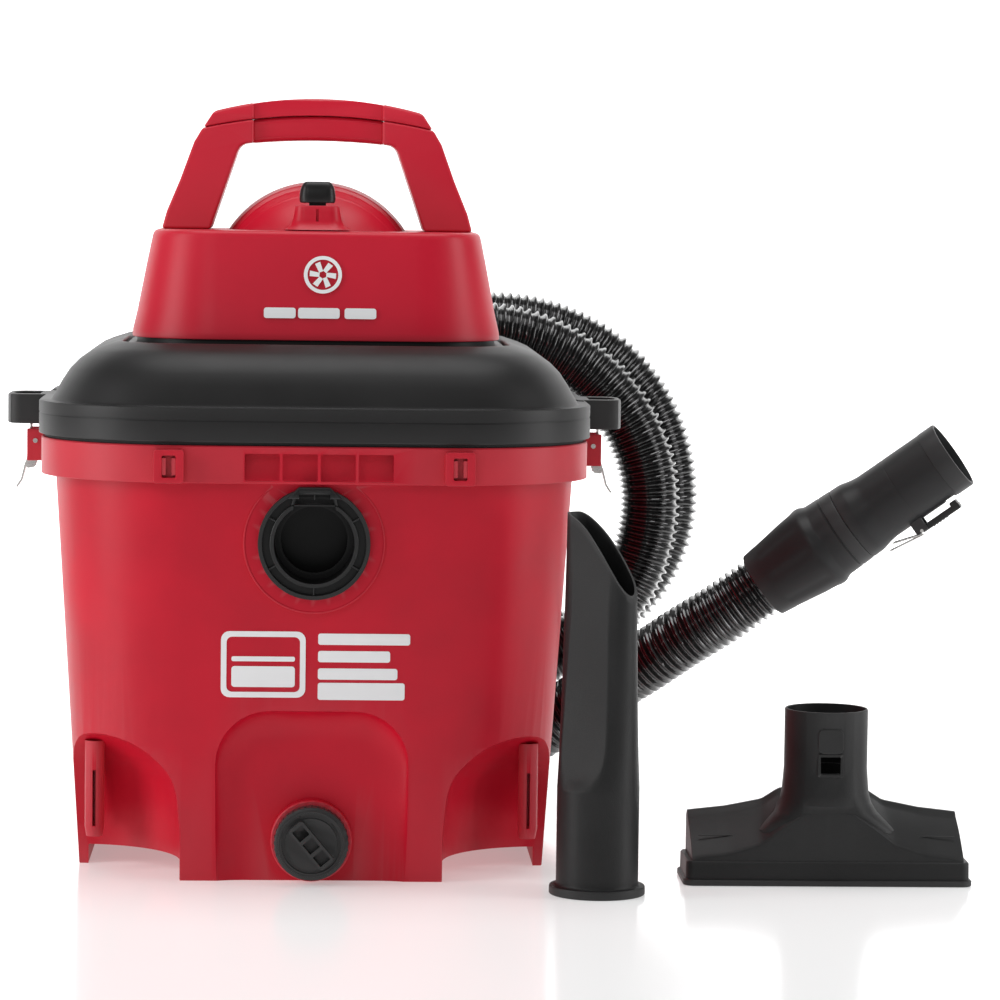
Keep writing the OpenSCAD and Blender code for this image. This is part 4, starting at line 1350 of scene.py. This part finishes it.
@dataclass
class Head:
    """The red head shell, the motor dome behind it, the switch and the carry handle."""

    bench: Bench
    core: tuple[float, float] = (81, 56)
    rise: float = 11

    def shell(self) -> Shape:
        """The head shell as one closed skin, open below and round the motor.

        Returns:
            The new shape.
        """
        skin = Skin.boxed(*self.core, 8, 14)
        for radius, z in [(71.4, 436), (72, 436.8), (71.6, 442), (67.9, 458), (64.0, 478), (60.1, 498),
                          (56.0, 518), (55.2, 521.4), (53.9, 523.6), (51.6, 524.8), (49.0, 525)]:
            skin.ring(radius, z)
        skin.circle(77.2, 525).circle(77.2, 521.6)
        for radius, z in [(50.6, 521.6), (68.8, 436)]:
            skin.ring(radius, z)
        return skin.shape(Ends.LOOP)

    def prints(self) -> Shape:
        """A generic print on the head's front: a fan disc in a ring, and three bars.

        Returns:
            The new shape.
        """
        ring = turned([(12.6, 0), (15.6, 0), (15.6, INK), (12.6, INK)], Ends.LOOP, 56)
        blade = prism([(2.6, -1.6), (10.6, -3.4), (10.9, 1.2), (3.0, 1.8)], 0, INK)
        made = ring.join(self.bench.repeat.spun(blade, 6)).placed(Matrix.Translation((5, 16, 0)))
        for x, half in ((-30, 13), (2, 17), (36, 13)):
            made.join(prism(rect_outline(half, 4.4, 2.2), 0, INK).placed(Matrix.Translation((x, -16, 0))))
        tilt = math.atan((67.9 - 60.1) / 40)
        return made.placed(facing_front(0, -self.core[1] - 64.0 - 1.9, 474) @ Matrix.Rotation(-tilt, 4, "X"))

    def dome(self) -> Shape:
        """The motor dome with three fine steps round it and the switch's plinth.

        Returns:
            The new shape.
        """
        rows = []
        for y in [-88.6, -86, -82, -77, -71, -64, -57, -50, -43.2, -42.4, -41.6, -40.8, -33.2, -32.4, -31.6,
                  -30.8, -23.2, -22.4, -21.6, -20.8, -14, -4, 6, 16, 26, 36, 46, 55, 63, 71, 78, 83, 87, 88.7]:
            lift = 0.0 if y < -42 else 0.45 if y < -32 else 0.9 if y < -22 else 1.3
            rows.append((math.sqrt(max(89**2 - y * y, 1)) - 1.3 + lift, y))
        ball = turned(rows, Ends.POLES, 120).placed(Matrix.Translation((0, 0, 477))
                                                     @ Matrix.Rotation(-math.pi / 2, 4, "X"))
        keep = block((200, 200, 60), (0, 0, 555), 0)
        base = Skin.boxed(10, 6, 2, 8)
        for radius, z in [(17, 526), (12.6, 529.4), (10.2, 534), (9.0, 540), (8.4, 545), (7.6, 546), (5.8, 546),
                          (5.6, 545), (5.4, 543)]:
            base.ring(radius, z)
        plinth = base.shape(Ends.POLES).placed(Matrix.Translation((0, -68, 0)))
        slot = block((2.2, 8, 10), (0, -85.5, 538), 0.5)
        return ball.kept(keep).merged(plinth).cut(slot)

    def rocker(self) -> Shape:
        """The rocker's cap: a rounded block with a dished top.

        Returns:
            The new shape.
        """
        skin = Skin.boxed(7, 3, 2, 8)
        for radius, z in [(6.6, 548.2), (7.6, 549), (8.0, 551.4), (7.9, 555), (7.4, 558.6), (6.5, 561.8),
                          (5.0, 564.2), (3.2, 565.6), (1.8, 565.9), (0.7, 565.7)]:
            skin.ring(radius, z)
        stem = block((14, 7, 9), (0, 0, 544.3), 0.5)
        return skin.shape(Ends.POLES).join(stem).placed(Matrix.Translation((0, -68, 0)))

    @staticmethod
    def profile(narrow: float, low: float, high: float) -> Shape:
        """The handle's side view as a long bar across, narrowed, between two heights.

        Args:
            narrow: share of the full depth that is kept.
            low: not used.
            high: not used.

        Returns:
            The bar.
        """
        side = [(40, 525), (27, 590), (20, 622), (14, 634), (7, 636.5)]
        points = [(-y * narrow, z) for y, z in side] + [(y * narrow, z) for y, z in reversed(side)]
        bar = prism([(y, z) for y, z in points][::-1], -150, 150)
        turn = Matrix(((0, 0, 1, 0), (1, 0, 0, 0), (0, 1, 0, 0), (0, 0, 0, 1)))
        return bar.placed(turn)

    @staticmethod
    def upright(outline: Outline) -> Shape:
        """An outline in X and Z, raised 100 mm along Y."""
        turn = Matrix(((1, 0, 0, 0), (0, 0, -1, 0), (0, 1, 0, 0), (0, 0, 0, 1)))
        return prism(outline, -50, 50).placed(turn)

    @staticmethod
    def crown(x: float, rise: float) -> float:
        """Height of the grip's upper line at x, for a rise in the middle."""
        return 610 + rise - (x / 97) ** 2 * rise

    def handle(self) -> Shape:
        """Two flat-faced legs and a rounded grip set back between them.

        Returns:
            The new shape.
        """
        made = Shape()
        lines = np.linspace(97, 54, 6)
        leg = [(89.6, 525.2), (130, 525.2), (126, 540), (115, 567), (104, 598)]
        leg += [(x, self.crown(x, self.rise)) for x in lines]
        leg += [(54, 598), (60.5, 597.2), (64.4, 595.4), (66.8, 591.6)]
        shape = self.upright(leg).kept(self.profile(1.0, 525, 637)).bevelled(2.4, 30, 3)
        made.join(shape, shape.placed(Matrix.Rotation(math.pi, 4, "Z")))
        grip = [(x, 600.4 - 3 * (x / 58) ** 2) for x in np.linspace(-58, 58, 9)]
        grip += [(x, self.crown(x, self.rise)) for x in np.linspace(58, -58, 13)]
        return made.join(self.upright(grip).kept(self.profile(0.74, 525, 637)).bevelled(5.0, 30, 4))

    def cap(self) -> Shape:
        """The cap along the handle's top.

        Returns:
            The new shape.
        """
        made = Shape()
        low = [(x, self.crown(x, self.rise) + 0.3) for x in np.linspace(54, 96.4, 6)]
        high = [(88, 623.6)] + [(x, 624 + 12 * (1 - (x / 88) ** 2)) for x in np.linspace(84, 54, 4)]
        shape = self.upright(low + high).kept(self.profile(1.0, 600, 637)).bevelled(2.2, 25, 3)
        made.join(shape, shape.placed(Matrix.Rotation(math.pi, 4, "Z")))
        low = [(x, self.crown(x, self.rise) + 0.3) for x in np.linspace(-58, 58, 13)]
        high = [(x, 623.6 + 12 * (1 - (x / 88) ** 2)) for x in np.linspace(58, -58, 13)]
        return made.join(self.upright(low + high).kept(self.profile(0.78, 600, 637)).bevelled(4.0, 30, 4))

    def build(self) -> None:
        """Makes the head's pieces."""
        bench = self.bench
        bench.fit(self.shell(), "head_moulding", "lid", Finish.HEAD_RED, ["head_shell"], 50.0)
        bench.fit(self.prints(), "head_print", "lid", Finish.PRINT_WHITE)
        bench.fit(self.dome(), "dome_moulding", "lid", Finish.HEAD_RED, ["motor_dome"], 50.0)
        bench.fit(self.rocker(), "rocker_piece", "switch", Finish.FITTING_BLACK, ["switch_cap"])
        bench.fit(self.handle(), "handle_moulding", "lid", Finish.HEAD_RED, ["carry_handle"])
        bench.fit(self.cap(), "handle_cap_moulding", "lid", Finish.HEAD_RED, ["handle_cap"])
        bench.eased_copy("blower_port", Finish.FITTING_BLACK, 0.6)
        bench.eased_copy("cord_gland", Finish.FITTING_BLACK, 0.5)
        for node in ("handle_screws", "head_screws", "switch_pin"):
            bench.dress(node, Finish.STEEL)
        bench.dress("switch_housing", Finish.FITTING_BLACK)


# ---------- latches, motor and filter ----------


@dataclass
class Latches:
    """The steel latch on each side."""

    bench: Bench
    sides: tuple[str, ...] = ("left", "right")

    def build(self) -> None:
        """Rounds the lever and the strap of each side."""
        for side in self.sides:
            self.bench.eased_copy("latch_lever_" + side, Finish.STEEL, 0.3)
            self.bench.eased_copy("latch_strap_" + side, Finish.STEEL, 0.35)
            self.bench.dress("link_pin_" + side, Finish.STEEL)


@dataclass
class Motor:
    """The motor and blower inside the head."""

    bench: Bench
    finishes: dict[str, Finish] = field(default_factory=lambda: {
        "motor_housing": Finish.FITTING_BLACK, "stator_core": Finish.DARK_STEEL, "field_coils": Finish.COPPER,
        "brush_holders": Finish.BRASS, "carbon_brushes": Finish.CARBON, "motor_bearings": Finish.STEEL,
        "impeller_housing": Finish.STEEL, "motor_shaft": Finish.STEEL, "rotor_core": Finish.DARK_STEEL,
        "rotor_windings": Finish.COPPER, "commutator": Finish.COPPER, "cooling_fan": Finish.NYLON,
        "impeller": Finish.ALUMINIUM, "impeller_nut": Finish.STEEL})

    def build(self) -> None:
        """Dresses the motor's CAD shapes."""
        for node, finish in self.finishes.items():
            self.bench.dress(node, finish)


@dataclass
class Filter:
    """The float in its cage, and the pleated cartridge with its retainer."""

    bench: Bench
    pleats: int = 60

    def cartridge(self) -> Shape:
        """Paper folds round the core, drawn as a plain tube without its holes, as repeated pleats.

        Returns:
            The new shape.
        """
        fold = prism([(63.4, -1.2), (70, -3.2), (86.8, -0.5), (86.8, 0.5), (70, 3.2), (63.4, 1.2)], 216, 372)
        core = turned([(63, 216), (64.5, 216), (64.5, 372), (63, 372)], Ends.LOOP, 120)
        return core.join(self.bench.repeat.spun(fold, self.pleats))

    def build(self) -> None:
        """Makes the filter's pieces."""
        bench = self.bench
        bench.fit(self.cartridge(), "cartridge_piece", "filter", Finish.PAPER, ["filter_cartridge"], 25.0)
        bench.eased_copy("filter_end_caps", Finish.RUBBER, 1.0)
        bench.eased_copy("filter_retainer", Finish.FITTING_BLACK, 0.6)
        bench.eased_copy("retainer_knob", Finish.HEAD_RED, 0.8)
        bench.dress("filter_cage", Finish.FITTING_BLACK)
        bench.dress("float_ball", Finish.FLOAT_WHITE)


# ---------- tools ----------


@dataclass
class CreviceTool:
    """The standing crevice tool: round socket, flattened blade, slanted mouth."""

    bench: Bench
    place: Point = (229, -240, 0)
    turn: float = -38
    foot: float = 86
    top: float = 306
    radius: float = 33
    flat_x: float = 31
    flat_y: float = 12
    wall: float = 2.2
    slant: float = 48
    sides: int = 112

    def blade_rings(self, thin: float, rows: int) -> list[np.ndarray]:
        """Rings of the blade's skin from its round end to its slanted mouth.

        Args:
            thin: how far the rings are drawn inwards.
            rows: steps along the blade.

        Returns:
            The rings, from the foot upwards.
        """
        skin = Skin.round(self.sides)
        radius, height = self.radius - thin, self.top - self.foot
        round_x, round_y = radius * np.cos(skin.bearing), radius * np.sin(skin.bearing)
        reach = rect_reach(skin.bearing, self.flat_x - thin, self.flat_y - thin, self.flat_y - 0.1 - thin)
        flat_x, flat_y = reach * np.cos(skin.bearing), reach * np.sin(skin.bearing)
        slope = math.tan(math.radians(self.slant))
        end = (152 - (round_x - self.flat_x) * slope) / (height + (flat_x - round_x) * slope)
        end = np.minimum(end + 0.05 * np.clip(1 - (flat_x / self.flat_x) ** 2, 0, 1), 0.996)
        rings = []
        for row in range(rows + 1):
            share = end * row / rows
            x = round_x + (flat_x - round_x) * share
            y = round_y + (flat_y - round_y) * share
            scoop = thin - 33.2 + 10.5 * (1 - np.exp(-share * 18)) + 11.5 * share
            rings.append(np.stack([x, np.maximum(y, scoop), self.foot + height * share], 1))
        return rings

    def moulding(self) -> Shape:
        """The tool as one closed skin.

        Returns:
            The new shape.
        """
        skin = Skin.round(self.sides)
        for radius, z in [(31.8, 0.2), (38, 0.2), (38.5, 0.8), (38.5, 6), (38, 7), (34.4, 7.2), (33.4, 8.2),
                          (33, 10), (33, 60), (33, 84)]:
            skin.ring(radius, z)
        skin.rings += self.blade_rings(0, 34)
        skin.rings += self.blade_rings(self.wall, 34)[:0:-1]
        for radius, z in [(29, 87), (29, 76.4), (31.8, 76)]:
            skin.ring(radius, z)
        matrix = Matrix.Translation(self.place) @ Matrix.Rotation(math.radians(self.turn), 4, "Z")
        return skin.shape(Ends.LOOP).placed(matrix)

    def build(self) -> None:
        """Makes the tool."""
        self.bench.fit(self.moulding(), "crevice_moulding", "crevice", Finish.TOOL_BLACK, ["crevice_tool"],
                       42.0)


@dataclass
class UtilityNozzle:
    """The wide floor nozzle: foot, wedge wings, neck and collar."""

    bench: Bench
    place: Point = (420, -170, 0)
    half: float = 111
    deep: float = 31
    front: tuple[tuple[float, float], ...] = ((0, 62), (20, 59), (38, 47), (55, 34), (80, 26), (111, 22))
    back: tuple[tuple[float, float], ...] = ((0, 76), (36, 71), (50, 62), (80, 56), (111, 52.5))

    def wings(self) -> Shape:
        """The wedge over the foot as a grid of heights, with a crest ridge near its back.

        Returns:
            The new shape.
        """
        xs = np.concatenate([np.linspace(-self.half, -60, 14), np.linspace(-56, 56, 33),
                             np.linspace(60, self.half, 14)])
        spread = np.array([-31, -30.4, -28, -24, -18, -12, -6, 0, 6, 12, 17, 20, 22, 24, 27, 30, 31.0])
        low = np.interp(np.abs(xs), *zip(*self.front))
        high = np.interp(np.abs(xs), *zip(*self.back))
        points, faces = [], []
        for y in spread:
            share = np.clip((y + self.deep) / 53, 0, 1)
            rise = low + (high - low) * (share + 0.10 * math.sin(math.pi * share))
            drop = 1.6 if abs(y) == self.deep else 0.4 if abs(y) > 30 else 0.0
            crest = 1.6 if 20 <= y <= 24 else 0.0
            over = max(y - 24, 0) * 0.35
            points += [(x, y, z - drop + crest - over) for x, z in zip(xs, rise)]
        count, rows = len(xs), len(spread)
        top = len(points)
        points += [(x, y, 12.0) for y in spread for x in xs]
        for j in range(rows - 1):
            for i in range(count - 1):
                a = j * count + i
                faces += [(a, a + 1, a + count + 1, a + count),
                          (top + a, top + a + count, top + a + count + 1, top + a + 1)]
        for i in range(count - 1):
            last = (rows - 1) * count + i
            faces += [(top + i, top + i + 1, i + 1, i), (last, last + 1, top + last + 1, top + last)]
        for j in range(rows - 1):
            a, b = j * count, j * count + count - 1
            faces += [(a, a + count, top + a + count, top + a), (b + count, b, top + b, top + b + count)]
        return Shape().add(points, faces)

    def foot(self) -> Shape:
        """The open foot with a lip round its base.

        Returns:
            The new shape.
        """
        skin = Skin.boxed(109, 26, 8, 8)
        for offset, z in [(3.2, 0.3), (8.4, 0.3), (9, 0.9), (9, 4.4), (8.2, 5.2), (6.8, 5.6), (6.6, 18.6),
                          (5.6, 20), (2, 20), (2, 16.8), (3.2, 16.8)]:
            skin.ring(offset, z)
        return skin.shape(Ends.LOOP)

    def collar(self) -> Shape:
        """The neck and the collar, with the window's opening cut through the collar's front; its frame and tab
        are made in details.

        Returns:
            The new shape.
        """
        skin = Skin.boxed(40, 11, 4, 14)
        for offset, z in [(16, 22), (16, 44)]:
            skin.ring(offset, z, (40, 11))
        skin.ring(22, 58, (20, 8))
        for radius, z in [(37.5, 66), (35.6, 74), (34.6, 86), (34, 94), (34, 141), (33.4, 142), (32.2, 142),
                          (31.8, 141.4), (31.8, 93), (29, 92.6), (29, 60)]:
            skin.circle(radius, z)
        skin.ring(12, 40, (30, 8))
        return skin.shape(Ends.LOOP).cut(block((16, 12, 14), (0, -34, 99), 0))

    def throat(self) -> Shape:
        """The air way inside the foot and up into the neck, to be cut out of the wings.

        Returns:
            The shape to cut away.
        """
        skin = Skin.boxed(84, 20, 8, 8).ring(9, 11).ring(9, 17)
        skin.ring(8, 17.4, (40, 11)).ring(10, 24, (30, 11)).ring(14, 56, (14, 8))
        return skin.ring(14, 90, (14, 8)).shape(Ends.POLES)

    def details(self) -> Shape:
        """The collar's window with its tab, and the fine lines along the wings.

        Returns:
            The new shape.
        """
        sill = frame_prism(rect_outline(10.4, 9.4, 1.5), rect_outline(8.0, 7.0, 0.8), 30.5, 34.6)
        panel = prism(rect_outline(10.4, 10, 5), 31, 34.8).bevelled(0.8)
        panel = panel.placed(Matrix.Translation((0, 19.6, 0)))
        window = sill.bevelled(0.4).join(panel).placed(facing_front(0, 0, 99))
        lines = [block((46, 1.0, 0.8), (side * 82, -14, 38.6), 0.3) for side in (-1, 1)]
        return window.join(*lines)

    def build(self) -> None:
        """Makes the nozzle's pieces."""
        matrix = Matrix.Translation(self.place)
        wings = self.wings().bevelled(1.2, 50, 2).cut(self.throat())
        body = wings.join(self.foot(), self.collar(), self.details())
        self.bench.fit(body.placed(matrix), "nozzle_moulding", "nozzle", Finish.TOOL_BLACK, ["utility_nozzle"])


# ---------- everything ----------


def main() -> None:
    """Builds the whole scene."""
    logging.basicConfig(level=logging.INFO, format="%(name)s: %(message)s")
    studio = Studio()
    studio.camera()
    bench = Bench()
    HoseLine(bench).build()
    studio.light()
    studio.floor()
    for assembly in (Tank, Lid, Head, Latches, Motor, Filter, CreviceTool, UtilityNozzle):
        assembly(bench).build()


if __name__ == "__main__":
    main()
